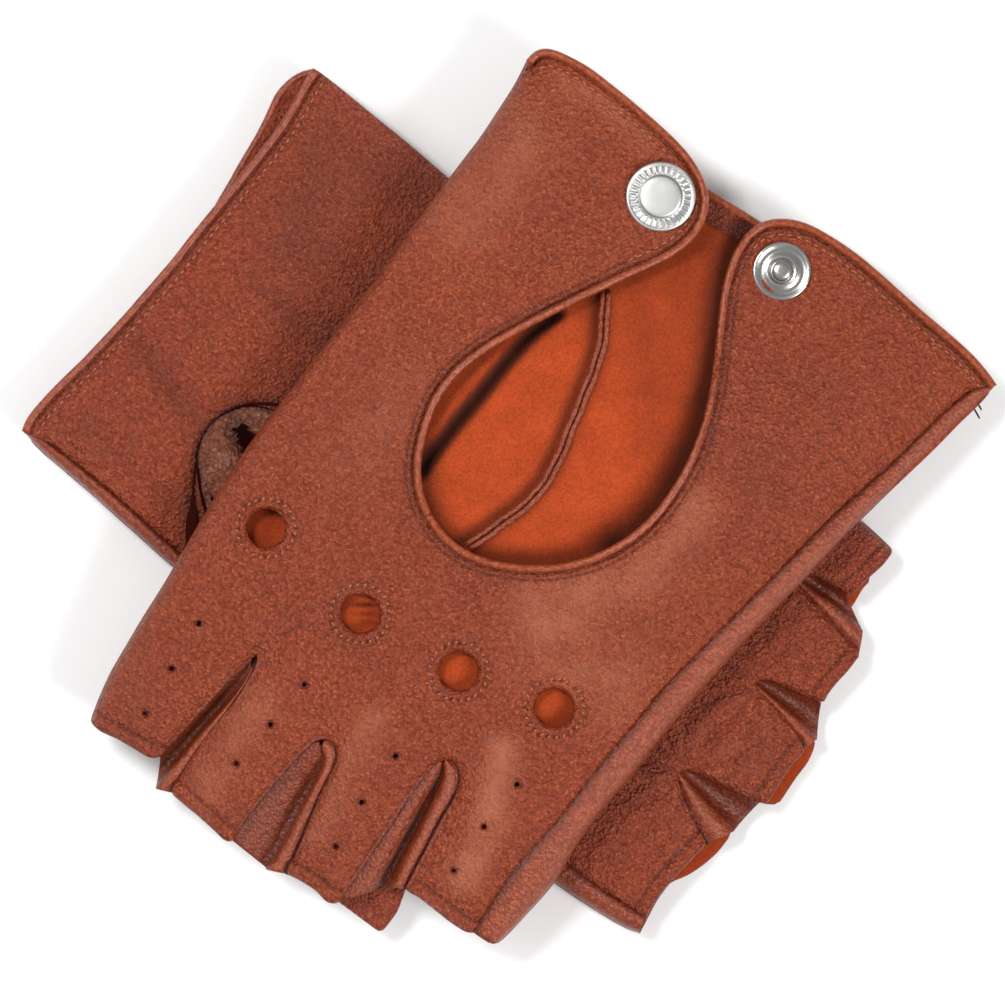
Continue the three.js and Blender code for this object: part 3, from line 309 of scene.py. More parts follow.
def panel(outline, holes, step, zfun, thick, outward, edge_step=None):
    """A leather panel: an outer skin at zfun, an inner skin, and a rounded rim.
    outward is +1 where the outer skin faces up, -1 where it faces down."""
    bstep = edge_step or step * 0.8
    l0 = resample(np.vstack([outline, outline[:1]]), min(bstep, 0.6))[:-1]
    for _ in range(3):
        l0 = 0.25 * np.roll(l0, 1, 0) + 0.5 * l0 + 0.25 * np.roll(l0, -1, 0)
    loops = [resample(np.vstack([l0, l0[:1]]), bstep)[:-1]]
    for h in holes:
        loops.append(resample(np.vstack([h, h[:1]]), min(bstep, 0.75))[:-1])
    lo, hi = outline.min(0), outline.max(0)
    def hexgrid(st):
        xs = np.arange(lo[0], hi[0], st)
        ys = np.arange(lo[1], hi[1], st * 0.866)
        gx, gy = np.meshgrid(xs, ys)
        gx = gx + (np.arange(len(ys)) % 2)[:, None] * st / 2
        q = np.stack([gx.ravel(), gy.ravel()], 1)
        return q[inside(q, loops[0])]
    def clear(q):
        d = dist(q, loops[0], True)[0]
        for h in loops[1:]:
            c = h.mean(0)
            near = np.hypot(*(q - c).T) < 14
            if near.any():
                dd = dist(q[near], h, True)[0] * np.where(inside(q[near], h), 0, 1)
                d[near] = np.minimum(d[near], dd)
        return d
    g = hexgrid(step)
    d = clear(g)
    if edge_step:
        g = g[d > 4.1]
        g2 = hexgrid(edge_step)
        # thin out first: only points within reach of an edge are measured exactly
        g2 = g2[clear(g2) < 3.9]
        d2 = clear(g2)
        g = np.vstack([g, g2[d2 > edge_step * 0.6]])
    else:
        g = g[d > step * 0.55]
    co, ed = [], []
    for l in loops:
        n0 = len(co)
        co += [tuple(p) for p in l]
        ed += [(n0 + i, n0 + (i + 1) % len(l)) for i in range(len(l))]
    co += [tuple(p) for p in g]
    V, _, F, _, _, _ = geometry.delaunay_2d_cdt([Vector(c) for c in co], ed, [], 0, 1e-5)
    V = np.array([tuple(v) for v in V])
    F = np.array([f for f in F if len(f) == 3])
    cen = V[F].mean(1)
    m = inside(cen, loops[0])
    for h in loops[1:]:
        m &= ~inside(cen, h)
    F = F[m]
    a = V[F]
    area = (a[:, 1, 0] - a[:, 0, 0]) * (a[:, 2, 1] - a[:, 0, 1]) - (a[:, 1, 1] - a[:, 0, 1]) * (a[:, 2, 0] - a[:, 0, 0])
    F = F[np.abs(area) > 1e-7]
    area = area[np.abs(area) > 1e-7]
    F[area < 0] = F[area < 0][:, ::-1]
    used = np.unique(F)
    remap = -np.ones(len(V), int)
    remap[used] = np.arange(len(used))
    V, F = V[used], remap[F]
    zo, sh = zfun(V)
    nv = len(V)
    # boundary edges, in the direction of their face
    E = np.vstack([F[:, [0, 1]], F[:, [1, 2]], F[:, [2, 0]]])
    key = {}
    for i, j in E:
        key[(i, j)] = 1
    B = [(i, j) for (i, j) in key if (j, i) not in key]
    nxt = {i: j for i, j in B}
    prv = {j: i for i, j in B}
    rimv, rid = [], {}
    zi = zo - outward * thick
    for i in nxt:
        a_, b_ = V[prv.get(i, i)], V[nxt[i]]
        t = b_ - a_
        l = np.hypot(*t) or 1
        nrm = np.array([t[1], -t[0]]) / l
        rid[i] = 2 * nv + len(rimv)
        rimv.append([V[i, 0] + nrm[0] * thick * 0.28, V[i, 1] + nrm[1] * thick * 0.28, (zo[i] + zi[i]) / 2])
    outer = np.column_stack([V, zo])
    inner = np.column_stack([V, zi])
    verts = np.vstack([outer, inner] + ([np.array(rimv)] if rimv else []))
    faces = [list(f) if outward > 0 else list(f[::-1]) for f in F]
    faces += [[i + nv for i in (f[::-1] if outward > 0 else f)] for f in F]
    idx = [0] * len(F) + [1] * len(F)
    for i, j in B:
        if i in rid and j in rid:
            q1 = [j, i, rid[i], rid[j]]
            q2 = [rid[j], rid[i], i + nv, j + nv]
            if outward < 0:
                q1, q2 = q1[::-1], q2[::-1]
            faces += [q1, q2]
            idx += [0, 0]
    shade = np.concatenate([sh, np.ones(nv), np.full(len(rimv), 0.8)])
    return verts, faces, np.array(idx), shade, nv

def vertex_normals(v, faces):
    n = np.zeros((len(v), 3))
    tri = [f for f in faces if len(f) == 3]
    quad = [f for f in faces if len(f) == 4]
    for group in (np.array(tri), np.array(quad)):
        if len(group) == 0:
            continue
        k = group.shape[1]
        a, b, c = v[group[:, 0]], v[group[:, 1]], v[group[:, 2]]
        fn = np.cross(b - a, c - a)
        if k == 4:
            fn = fn + np.cross(c - a, v[group[:, 3]] - a)
        for j in range(k):
            np.add.at(n, group[:, j], fn)
    l = np.linalg.norm(n, axis=1)
    l[l < 1e-12] = 1
    return n / l[:, None]

# ---------------------------------------------------------------- one glove
class Glove:
    def __init__(self, side, tab, axis, base, up):
        self.side, self.up, self.base = side, up, base
        self.t = {k: v for k, v in tab.items()}
        self.o, self.dir = arr(axis["origin"]), arr(axis["dir"])
        self.cuff, self.tip = axis["cuff"], axis["tip"]
        self.P, self.cap, self.stud = (arr(tab[k][0]) for k in ("pivot", "cap", "stud"))
        self.R = float(np.hypot(*(self.stud - self.P)))
        self.u = (self.stud - self.P) / self.R
        mid = arr(tab["keyhole"][-1]) * 0.75 + self.cap * 0.25
        self.m = mid - self.P
        c = (self.cap - self.P) / np.hypot(*(self.cap - self.P))
        a = math.radians(38)
        self.n = np.array([c[0] * math.cos(a) - c[1] * math.sin(a), c[0] * math.sin(a) + c[1] * math.cos(a)])
        self.start = np.array([*(self.P + self.n * 22.0), 0.0])
        self.end = np.array([*(self.P + self.n * 49.0), 0.0])
        self.main = side + "_glove"
        self.flap = side + "_cap_flap"
        self.bl = (self.main, self.flap, self.start, self.end)
        self.leather, self.trim = side + "_leather", side + "_trim_leather"

    def along(self, p):
        return (p[:, :2] - self.o) @ self.dir

    def side_of(self, p):
        return self.m[0] * (p[:, 1] - self.P[1]) - self.m[1] * (p[:, 0] - self.P[0])

    def reach(self, p):
        return (p[:, :2] - self.P) @ self.u

    def n_of(self, p):
        return (p[:, :2] - self.P) @ self.n

    def drop(self, p, on=True):
        if not on:
            return np.zeros(len(p))
        return np.where(self.side_of(p) < 0, LOBE_DROP * sstep(self.reach(p), 0.46 * self.R, 0.87 * self.R), 0)

    def droop(self, p):
        a = self.along(p)
        soft = lambda x, w=7.0: np.where(x > w, x, np.where(x < -w, 0, (x + w) ** 2 / (4 * w)))
        h = np.zeros(len(p))
        for s, k in self.cuff:
            h += k * soft(s - a)
        for s, k in self.tip:
            h += k * soft(a - s)
        return h

    def z(self, p, zl, dropped=True):
        """World height (mm) of plan points p at the glove's own height zl."""
        p = np.atleast_2d(p)
        zl = np.broadcast_to(np.asarray(zl, float), (len(p),))
        zl = zl - self.drop(p, dropped) * np.clip((zl - 1.2) / 7.1, 0, 1)
        return (self.base + zl if self.up > 0 else self.base - zl) - self.droop(p)

    def place(self, pts, dropped=True):
        pts = np.asarray(pts, float)
        q = pts.reshape(-1, 3).copy()
        q[:, 2] = self.z(q[:, :2], q[:, 2], dropped)
        return q.reshape(pts.shape)

    def path(self, line, zl, dropped=True):
        line = np.asarray(line)
        return np.column_stack([line, self.z(line, zl, dropped)])


def outline_back(g):
    t = g.t
    pts = list(g.cap_edge) + list(g.key) + list(g.stud_edge)
    pts += list(g.seamL[1:-1])
    f, n = t["backFingers"], t["backNotches"]
    for i in range(4):
        pts += [arr(p) for p in f[i]]
        if i < 3:
            pts += [arr(p) for p in n[i]]
    pts += list(g.edgeI[::-1][1:-1])
    return clean(arr(pts))


def stitches(line, pitch, length, w, h, zf, lift=0.1, skip=0.0):
    """Small thread stitches along a plan line; zf gives the world height there."""
    L = lengths(line)
    parts = []
    s = skip + pitch / 2
    while s < L[-1] - pitch / 2:
        q = []
        for k in (-0.5, -0.25, 0, 0.25, 0.5):
            x = np.interp(s + k * length, L, line[:, 0])
            y = np.interp(s + k * length, L, line[:, 1])
            q.append([x, y])
        q = arr(q)
        z = zf(q) + lift * np.array([-1.6, 0.4, 1, 0.4, -1.6]) * 1.0
        parts.append(tube(np.column_stack([q, z]), w, h, 6, taper=length * 0.3))
        s += pitch
    return join_parts(parts)


def ring_line(c, r, n=48):
    a = np.linspace(0, 2 * np.pi, n + 1)
    return np.stack([c[0] + r * np.cos(a), c[1] + r * np.sin(a)], 1)


def build_back(g, step, fine):
    """The back of the hand, in one surface, then parted into the side that carries the cap and the rest."""
    t = g.t
    ol = outline_back(g)
    holes = [ring_line(arr(c), KNUCKLE_R)[:-1] for c in t["knuckles"]]
    vents = [ring_line(arr(c), 0.72, 12)[:-1] for c in t["vents"]] if fine else []
    g.vents = vents
    up = 1.0
    fing = [soften(arr(f), 1, 1.5) for f in t["backFingers"]]
    notch = [soften(arr(n), 1, 1.2) for n in t["backNotches"]]
    opening = np.vstack([g.cap_edge, g.key, g.stud_edge])
    L_out = np.vstack([g.edgeI])

    def z(p):
        dI = dist(p, L_out)[0]
        dS, sS, _ = dist(p, g.seamL)
        dO, sO, _ = dist(p, opening)
        dN = np.full(len(p), 99.0)
        for n in notch:
            dN = np.minimum(dN, dist(p, n)[0])
        dF = np.full(len(p), 99.0)
        for f in fing:
            dF = np.minimum(dF, dist(p, f)[0])
        h = np.full(len(p), HEIGHT)
        sh = np.ones(len(p))
        # rolled edges
        h -= roll(dI, 3.0) * 0.95 + 1.0 * (1 - sstep(dI, 0, 11))
        a = g.along(p)
        tipw = sstep(a, 118, 150) if g.side == "left" else sstep(a, 100, 130)
        h -= roll(dN, 2.0) * 0.9 + 0.9 * (1 - sstep(dN, 0, 7.5)) * (0.35 + 0.65 * tipw)
        h -= roll(dS, 1.3) * 0.8 + 0.7 * (1 - sstep(dS, 0, 6))
        # painted shade in the seam's groove
        sh *= 1 - 0.45 * bell(dS, 0.7)
        # fingertip hems, with painted shade in the hem's groove and at the cut edge
        h += 0.26 * (1 - sstep(dF, 2.2, 3.0)) - 0.30 * bell(dF - 2.85, 0.34) - 0.14 * bell(dF - 1.5, 0.3)
        h -= roll(dF, 0.8) * 0.5
        sh *= 1 - 0.45 * bell(dF - 2.85, 0.36) - 0.3 * bell(dF, 0.45)
        # the turned edge of the opening: groove, raised line, stitch line, with painted shade in the groove and along
        # the stitch line
        h -= 0.55 * bell(dO - 1.75, 0.42)
        h += 0.26 * bell(dO - 2.45, 0.36)
        h -= 0.24 * bell(dO - 3.1, 0.36)
        sh *= 1 - 0.72 * bell(dO - 1.72, 0.40) - 0.42 * bell(dO - 3.1, 0.34)
        # knuckle holes, with painted shade at the rim and in the stitch dimples
        for c in t["knuckles"]:
            r = np.hypot(*(p - arr(c)).T)
            th = np.arctan2(p[:, 1] - c[1], p[:, 0] - c[0])
            pk = bell(r - 6.35, 0.62) * (0.45 + 0.55 * np.cos(24 * th))
            h += 0.34 * bell(r - 8.6, 2.4) + 0.20 * bell(r - 5.2, 0.5) - 0.34 * pk - roll(np.maximum(r - KNUCKLE_R, 0), 0.6) * 0.8
            sh *= (1 - 0.25 * bell(r - KNUCKLE_R, 0.35)) * (1 - 0.62 * np.clip(pk, 0, 1))
        # vent holes: a slight dip, with painted shade round each hole
        for v in vents:
            r = np.hypot(*(p - v.mean(0)).T)
            h -= 0.18 * bell(r - 0.8, 0.5)
            sh *= 1 - 0.75 * bell(r - 0.62, 0.30)
        # soft undulation of empty leather, and creases
        if fine:
            h += 0.75 * nz(p, 30, 3.1) * sstep(dO, 0, 9) * sstep(dI, 0, 8)
            h += 0.16 * nz(p, 9, 5.7) * sstep(dO, 1, 5)
            q = np.column_stack([p @ np.array([0.80, 0.60]), (p @ np.array([-0.60, 0.80])) * 0.45])
            h += 0.085 * (1 - 2.0 * np.abs(nz(q, 3.6, 8.8, 2))) * (0.35 + 0.65 * sstep(g.along(p), 85, 120)) * sstep(dO, 2, 6)
            # broad soft ridges that catch the light
            for c_, w_, a_ in RIDGES:
                d_, s_, _ = dist(p, arr(c_))
                h += a_ * bell(d_, w_)
            tb = 1 - sstep(g.reach(p), -0.25 * g.R, 0.75 * g.R)
            h += 0.15 * np.sin(dO * 2 * math.pi / 3.1 + 0.8 * nz(p, 9, 1.2, 1)) * np.exp(-dO / 7.0) * sstep(dO, 3.4, 4.4) * tb
            for line, amp, w in CREASES:
                d, s, _ = dist(p, arr(line))
                Lc = lengths(arr(line))[-1]
                k = np.sin(np.clip(s / Lc, 0.02, 0.98) * math.pi) ** 0.6
                h -= amp * k * bell(d, w)
                # painted shade in the crease
                sh *= 1 - 0.22 * k * bell(d, w) * min(1, abs(amp) * 4)
                h += amp * 0.7 * k * bell(d - 2.2 * w, w)
            # painted sheen: lighter patches where the leather would catch a reflection; patches with a negative amount
            # are darker
            for line, w, amp in SHEEN_AND_DARK_PATCHES:
                d, s, _ = dist(p, arr(line))
                sh += amp * np.exp(-(d / w) ** 2) * (0.8 + 0.5 * nz(p, 7, 2.2))
        else:
            h += 0.35 * nz(p, 24, 4.4)
        return g.z(p, h), sh

    outward = 1 if g.up > 0 else -1
    g.zback = z
    verts, faces, idx, sh, nv = panel(ol, holes + vents, step, z, LEATHER, outward, 0.5 if fine else None)
    nrm = vertex_normals(verts, faces)
    cen = np.array([verts[f].mean(0)[:2] for f in faces])
    dt = dist(cen, opening)[0]
    for f in (fing if fine else ()):
        dt = np.minimum(dt, dist(cen, f)[0])
    idx = np.where((idx == 1) & (dt < 6.0), 0, idx)
    cap_side = (g.n_of(cen) > 19.0) & (g.side_of(cen) > 0)
    for tag, m, kw in (("back_cap_side", cap_side, dict(blend=g.bl, replaces=(g.side + "_cap_flap",))),
                       ("back", ~cap_side, dict(body=g.main, replaces=(g.side + "_back_panel",)))):
        ff = [f for f, k in zip(faces, m) if k]
        used = np.unique(np.concatenate([np.array(f) for f in ff]))
        remap = -np.ones(len(verts), int)
        remap[used] = np.arange(len(used))
        make(g.side + "_" + tag, verts[used], [[int(remap[i]) for i in f] for f in ff], [g.leather, "suede"],
             slot=g.leather, matidx=idx[m], shade=sh[used], normals_=nrm[used], **kw)


def build_palm(g, step, fine):
    t = g.t
    pf, pn = t["palmFingers"], t["palmNotches"]
    pts = list(g.palm_cuff) + list(g.edgeL[1:])
    for i in range(4):
        f = pf[i]
        pts += [arr(p) for p in (f[:-1] if i == 3 else f)]
        if i < 3:
            pts += [arr(p) for p in pn[i]]
    pts += list(g.seamI[::-1][1:-1])
    ol = clean(arr(pts))
    notch = [soften(arr(n), 1, 1.2) if len(n) > 2 else arr(n) for n in pn]
    fing = [soften(arr(f), 1, 1.5) for f in pf]
    tb = arr(t["thumbBase"][0])

    def z(p):
        dI = dist(p, g.seamI)[0]
        dL = dist(p, g.edgeL)[0]
        dC = dist(p, g.palm_cuff)[0]
        dN = np.full(len(p), 99.0)
        for n in notch:
            if len(n) > 1:
                dN = np.minimum(dN, dist(p, n)[0])
        dF = np.full(len(p), 99.0)
        for f in fing:
            dF = np.minimum(dF, dist(p, f)[0])
        h = np.zeros(len(p))                 # depth below the palm's outer face, counted into the glove
        sh = np.ones(len(p))
        h += roll(dL, 2.8) * 0.9 + 0.8 * (1 - sstep(dL, 0, 9))
        h += roll(dI, 1.2) * 0.8 + 0.6 * (1 - sstep(dI, 0, 6))
        # painted shade in the seam's groove
        sh *= 1 - 0.45 * bell(dI, 0.7)
        h += roll(dN, 1.6) * 0.9 + 0.8 * (1 - sstep(dN, 0, 6))
        h -= 0.26 * (1 - sstep(dF, 2.2, 3.0)) - 0.30 * bell(dF - 2.85, 0.34)
        # painted shade in the hem's groove and at the cut edge
        sh *= 1 - 0.45 * bell(dF - 2.85, 0.36) - 0.3 * bell(dF, 0.45)
        h += 0.50 * bell(dC - 1.8, 0.42) - 0.24 * bell(dC - 2.5, 0.38) + 0.24 * bell(dC - 3.3, 0.36)
        # painted shade in the cuff's groove and along its stitch line
        sh *= 1 - 0.70 * bell(dC - 1.78, 0.40) - 0.42 * bell(dC - 3.3, 0.34)
        if fine:
            a = g.along(p)
            wf = sstep(a, 96, 120)
            h -= 0.45 * nz(p, 26, 7.7) * sstep(dL, 0, 8) * sstep(dC, 0, 7)
            h -= 0.10 * nz(p, 8, 2.7) * (1 - wf)
            # finger part: coarse folded leather
            q = np.column_stack([p @ g.dir / 1.0, (p @ np.array([-g.dir[1], g.dir[0]])) / 1.9])
            wr = nz(q, 4.2, 11.0)
            wr2 = nz(p, 2.6, 13.0, 1)
            h -= wf * (0.20 * (1 - 2.2 * np.abs(wr)) + 0.10 * wr2)
            # darker along the wrinkle lines: painted shade
            sh *= 1 - 0.16 * wf * sstep(np.abs(wr) * -1, -0.10, 0.0)
            # folds that fan out from the crotch of each finger
            for n in notch:
                v_ = p - n[np.argmin(g.along(n))]
                r = np.hypot(*v_.T)
                th = np.arctan2(v_[:, 1], v_[:, 0])
                fan = np.sin(th * 13 + 1.6 * nz(p, 9, 4.1) + r * 0.10)
                k = np.exp(-(r / 15.0) ** 2) * sstep(r, 1.5, 5.0)
                h += 0.20 * k * fan
                # lighter and darker in step with the folds: painted light and shade
                sh += 0.16 * k * fan
            for line, amp, w in PCREASES:
                d, s, _ = dist(p, arr(line))
                Lc = lengths(arr(line))[-1]
                k = np.sin(np.clip(s / Lc, 0.02, 0.98) * math.pi) ** 0.6
                h += amp * k * bell(d, w)
                h -= amp * 0.7 * k * bell(d - 2.1 * w, w)
                # painted shade in the crease
                sh *= 1 - 0.35 * k * bell(d, w) * min(1, abs(amp) * 2)
            d = dist(p, arr(THUMB_SEAM))[0]
            h += 0.55 * bell(d, 0.6)
            # darkened along the seam and in a band beside it: painted shade in the seam
            sh *= 1 - 0.93 * bell(d, 0.62) - 0.30 * bell(d, 2.0) * (1 - bell(d, 0.62))
            # painted shade: dark patches along these lines
            for line, w, amp in PAINTED_SHADE_PATCHES:
                sh *= 1 - amp * np.exp(-(dist(p, arr(line))[0] / w) ** 2)
            # painted shadow cast by the left glove along its edge over the right palm
            sh *= 1 - 0.55 * np.exp(-(dist(p, arr(LEFT_GLOVE_SHADOW_EDGE))[0] / 4.5) ** 2)
        else:
            # the empty palm has risen towards the back; the thumb's seam and a fold cross it
            h += 0.3 * nz(p, 24, 6.1)
            if g.side == "left":
                dall = np.minimum(np.minimum(dL, dI), np.minimum(dC, np.minimum(dN * 1.6, dF)))
                h += 3.1 * sstep(dall, 3, 26)
                for i_, c in enumerate(t["knuckles"]):
                    v_ = p - arr(c)
                    r = np.hypot(*v_.T)
                    h += 1.7 * bell(r, 15)
                    if i_ == 1:
                        y_ = v_ @ np.array([0.10, 0.995])
                        h += bell(r, 5.5) * (0.5 * bell(y_ - 0.9, 0.55) + 0.5 * bell(y_ + 0.8, 0.6) + 0.35 * bell(y_ + 2.4, 0.7) - 0.5 * bell(y_ - 1.9, 0.4))
            if g.side == "left":
                d, s_, sd = dist(p, g.welt)
                h += 0.9 * bell(d, 2.2)
                df, sf, sdf = dist(p, g.fold)
                h += 1.3 * bell(df - 1.0, 3.2) - 2.6 * bell(df, 1.5)
        return g.z(p, h), sh

    hole = ring_line(tb, 7.2)[:-1]
    verts, faces, idx, sh, nv = panel(ol, [] if g.side == "left" else [hole], step, z, LEATHER, -1 if g.up > 0 else 1, 0.5 if fine else None)
    # the leather is turned in along the cuff and the fingertips
    cen = np.array([verts[f].mean(0)[:2] for f in faces])
    dt = dist(cen, g.palm_cuff)[0]
    for f in (() if fine else fing):
        dt = np.minimum(dt, dist(cen, f)[0] * 0.6)
    idx = np.where((idx == 1) & (dt < 6.0), 0, idx)
    if g.side == "left":
        # the inner face's shade: painted shade beside the seam ridges and in the fold, and a dark line where the
        # turned-in hem ends
        p = verts[nv:2 * nv, :2]
        k = np.ones(nv)
        d, s_, sd = dist(p, g.welt)
        k *= 1 - 0.62 * bell(d - 2.0, 1.5) * (sd == g.weltdark) - 0.25 * bell(d - 1.6, 0.8) * (sd != g.weltdark)
        df = dist(p, g.fold)[0]
        k *= 1 - 0.95 * np.exp(-(df / 2.1) ** 4)
        dt2 = dist(p, g.palm_cuff)[0]
        k *= 1 - 0.5 * bell(dt2 - 6.0, 0.5)
        # painted shadow cast by the opening's lower edge and stud edge onto the palm's inner face
        nk = len(g.key)
        for a_, b_, w_, amp_ in ((0.30, 0.62, 2.4, 0.55), (0.62, 1.0, 3.4, 0.80)):
            seg = g.key[int(a_ * nk):max(int(b_ * nk), int(a_ * nk) + 3)]
            if b_ == 1.0:
                seg = np.vstack([seg, g.stud_edge[:max(3, len(g.stud_edge) // 2)]])
            k *= 1 - amp_ * np.exp(-(np.maximum(0, dist(p, seg)[0] - 1.0) / w_) ** 2)
        # darker towards the stud side
        k *= 1 - 0.24 * sstep(p[:, 0] * 0.85 + p[:, 1] * 0.3, 22.0, 34.0)
        # painted shade: dark lines beside the fold's ridges under the middle knuckle hole
        v_ = p - arr(t["knuckles"][1])
        y_ = v_ @ np.array([0.10, 0.995])
        k *= 1 - bell(np.hypot(*v_.T), 6.5) * np.clip(0.85 * bell(y_ - 1.9, 0.35) + 0.5 * bell(y_ - 0.05, 0.3) + 0.4 * bell(y_ + 1.7, 0.3), 0, 0.9)
        sh[nv:2 * nv] = k
        parts = []
        top = lambda q: z(q)[0] + LEATHER
        for d0, w_, h_ in ((-0.62, 1.15, 1.3), (0.72, 1.25, 1.1)):
            l = offset(g.welt, d0 * g.weltdark * -1)
            l = l + normals(l) * (0.10 * np.sin(np.arange(len(l)) * 0.9))[:, None]
            parts.append(tube(np.column_stack([l, top(l) + 0.35]), w_, h_, 10))
        v, f, _ = join_parts(parts)
        make(g.side + "_thumb_seam_allowance", v, f, [g.trim], blend=g.bl, slot=g.trim, shade=np.full(len(v), 0.92))
    g.zpalm = z
    make(g.side + "_palm", verts, faces, [g.leather, "suede"], blend=g.bl, slot=g.leather, matidx=idx, shade=sh,
         replaces=(g.side + "_palm_panel",))


def side_strip(g, seam, edge, name, node, from_top, sgn):
    """A narrow strip that wraps the side of the hand: sewn to one panel at its seam, tucked under the other."""
    n = max(24, int(lengths(edge)[-1] / 1.2))
    S, E = resample(seam, 1, n), resample(edge, 1, n)
    for _ in range(4):
        S[1:-1] = 0.25 * S[:-2] + 0.5 * S[1:-1] + 0.25 * S[2:]
        E[1:-1] = 0.25 * E[:-2] + 0.5 * E[1:-1] + 0.25 * E[2:]
    rings, shade = [], []
    prof = [(-0.10, 0.95), (0.02, 0.42), (0.12, 0.12), (0.28, 0.02), (0.46, 0.12), (0.62, 0.45), (0.76, 0.95), (0.88, 1.7), (0.96, 2.7), (1.0, 4.0), (0.99, 5.2), (0.96, 6.2), (0.90, 6.9), (0.80, 7.3),
            (0.62, 6.9), (0.72, 6.2), (0.78, 5.0), (0.78, 4.0), (0.74, 2.9), (0.64, 1.9), (0.5, 1.2), (0.3, 0.9), (0.1, 1.0), (-0.1, 1.5)]
    # shade per profile point: painted shade at the seam, on the turned-down side and underneath, and a faint painted
    # highlight on the crest
    k_sh = [0.5, 0.45, 0.75, 1, 1.02, 1, 0.95, 0.9, 0.85, 0.8, 0.78, 0.75, 0.7, 0.6] + [0.7] * 10
    for i in range(n):
        w = (E[i] - S[i]) * (1.0 if from_top == (g.side == "left") else 0.93)
        ring = []
        bump = 0.10 * math.sin(i * 1.2 * 2 * math.pi / 2.4)
        for j, (u, zt) in enumerate(prof):
            q = S[i] + w * u
            zl = HEIGHT - zt if from_top else zt
            if 4 <= j <= 6:
                zl += bump * (1 if from_top else -1)
            ring.append([q[0], q[1], zl])
        rings.append(ring)
        shade += k_sh
    r = g.place(np.array(rings), from_top)
    v, f, _ = fix_out(loft(r))
    ob = make(name, v, f, [g.trim], slot=g.trim, replaces=(node,), shade=shade, **(dict(blend=g.bl) if sgn else dict(body=g.main)))
    return S, E


def build_web(g, i, key, node, fine_from_top):
    """A finger web: two finger walls that meet at the apex, and the fold between them."""
    parts = []
    line = soften(arr(g.t["backNotches" if fine_from_top else "palmNotches"][i]), 1, 1.0)
    line2 = soften(arr(g.t["webs"][i]), 1, 1.0)
    n = max(16, int(lengths(line2)[-1] / 1.1))
    A = resample(line2, 1, n)
    rings, sh = [], []
    N = normals(A) * g.websign
    for k in range(n):
        ring = []
        for (u, zl) in [(0.2, 8.35), (0.55, 6.6), (0.75, 4.7), (0.55, 2.8), (0.2, 1.15), (0.95, 1.15), (1.35, 2.8), (1.5, 4.7), (1.35, 6.6), (0.95, 8.35)]:
            q = A[k] + N[k] * u
            ring.append([q[0], q[1], zl])
        rings.append(ring)
    v, f, _ = fix_out(loft(g.place(np.array(rings))))
    # the finger walls are darker throughout: painted shade in the gap between fingers
    parts.append((v, f, np.full(len(v), 0.72)))
    if key in g.t:
        L, W, R = (soften(arr(l), 1, 0.8) for l in g.t[key])
        m = 30
        L, W, R = (resample(l, 1, m) for l in (L, W, R))
        rings, sh = [], []
        for k in range(m):
            e = k / (m - 1)
            wig = 0.35 * noise.noise((k * 0.33, i * 3.1, 0.5))
            a, b, c = L[k], W[k], R[k]
            e_ = float(sstep(np.array([e]), 0.0, 0.35)[0])
            # the third number of each point is its shade: painted shade down in the fold and underneath, painted
            # highlight (over 1) along the welt's crest
            PR = {"web3": [(0.02, 0.9, .40), (0.22, 2.6, .45), (0.5, 3.6, .50), (0.78, 3.0, .55), (0.93, 1.6, .45)],
                  "web2": [(0.02, 0.6, .50), (0.25, 1.3, .72), (0.5, 2.4, .80), (0.76, 3.9, .70), (0.94, 4.2, .38)],
                  "web1": [(0.02, 0.5, .60), (0.28, 0.5, .95), (0.52, 1.3, .85), (0.72, 5.0, .22), (0.90, 3.2, .40)]}[key if fine_from_top and g.side == "left" else "web3"]
            pr = [(a + (b - a) * -0.25 * (1 - e ** 3), 7.9, .5)]
            pr += [(a + (b - a) * u_, 7.9 - dz_ * (0.35 + 0.65 * e_) + wig * (0.3 if u_ < 0.9 else 0), s_) for u_, dz_, s_ in PR]
            pr += [(b, 7.35, .8), (b + (c - b) * 0.22, 8.15, 1.1), (b + (c - b) * 0.5, 8.35, 1.15), (b + (c - b) * 0.78, 8.0, .9),
                   (b + (c - b) * 0.92, 7.3, .25), (c + (c - b) * 0.15, 7.6, .25)]
            under = [(q, zz - 0.8, .7) for q, zz, s_ in pr[::-1]]
            ring = [[q[0], q[1], (zz if fine_from_top else HEIGHT - zz)] for q, zz, s_ in pr + under]
            rings.append(ring)
            sh += [s_ for _, _, s_ in pr + under]
        v, f, _ = fix_out(loft(g.place(np.array(rings))))
        parts.append((v, f, np.array(sh)))
    v, f, s = join_parts(parts)
    make(g.side + "_" + node + "_gusset", v, f, [g.trim], body=g.main, slot=g.trim, shade=s, replaces=(g.side + "_" + node,))


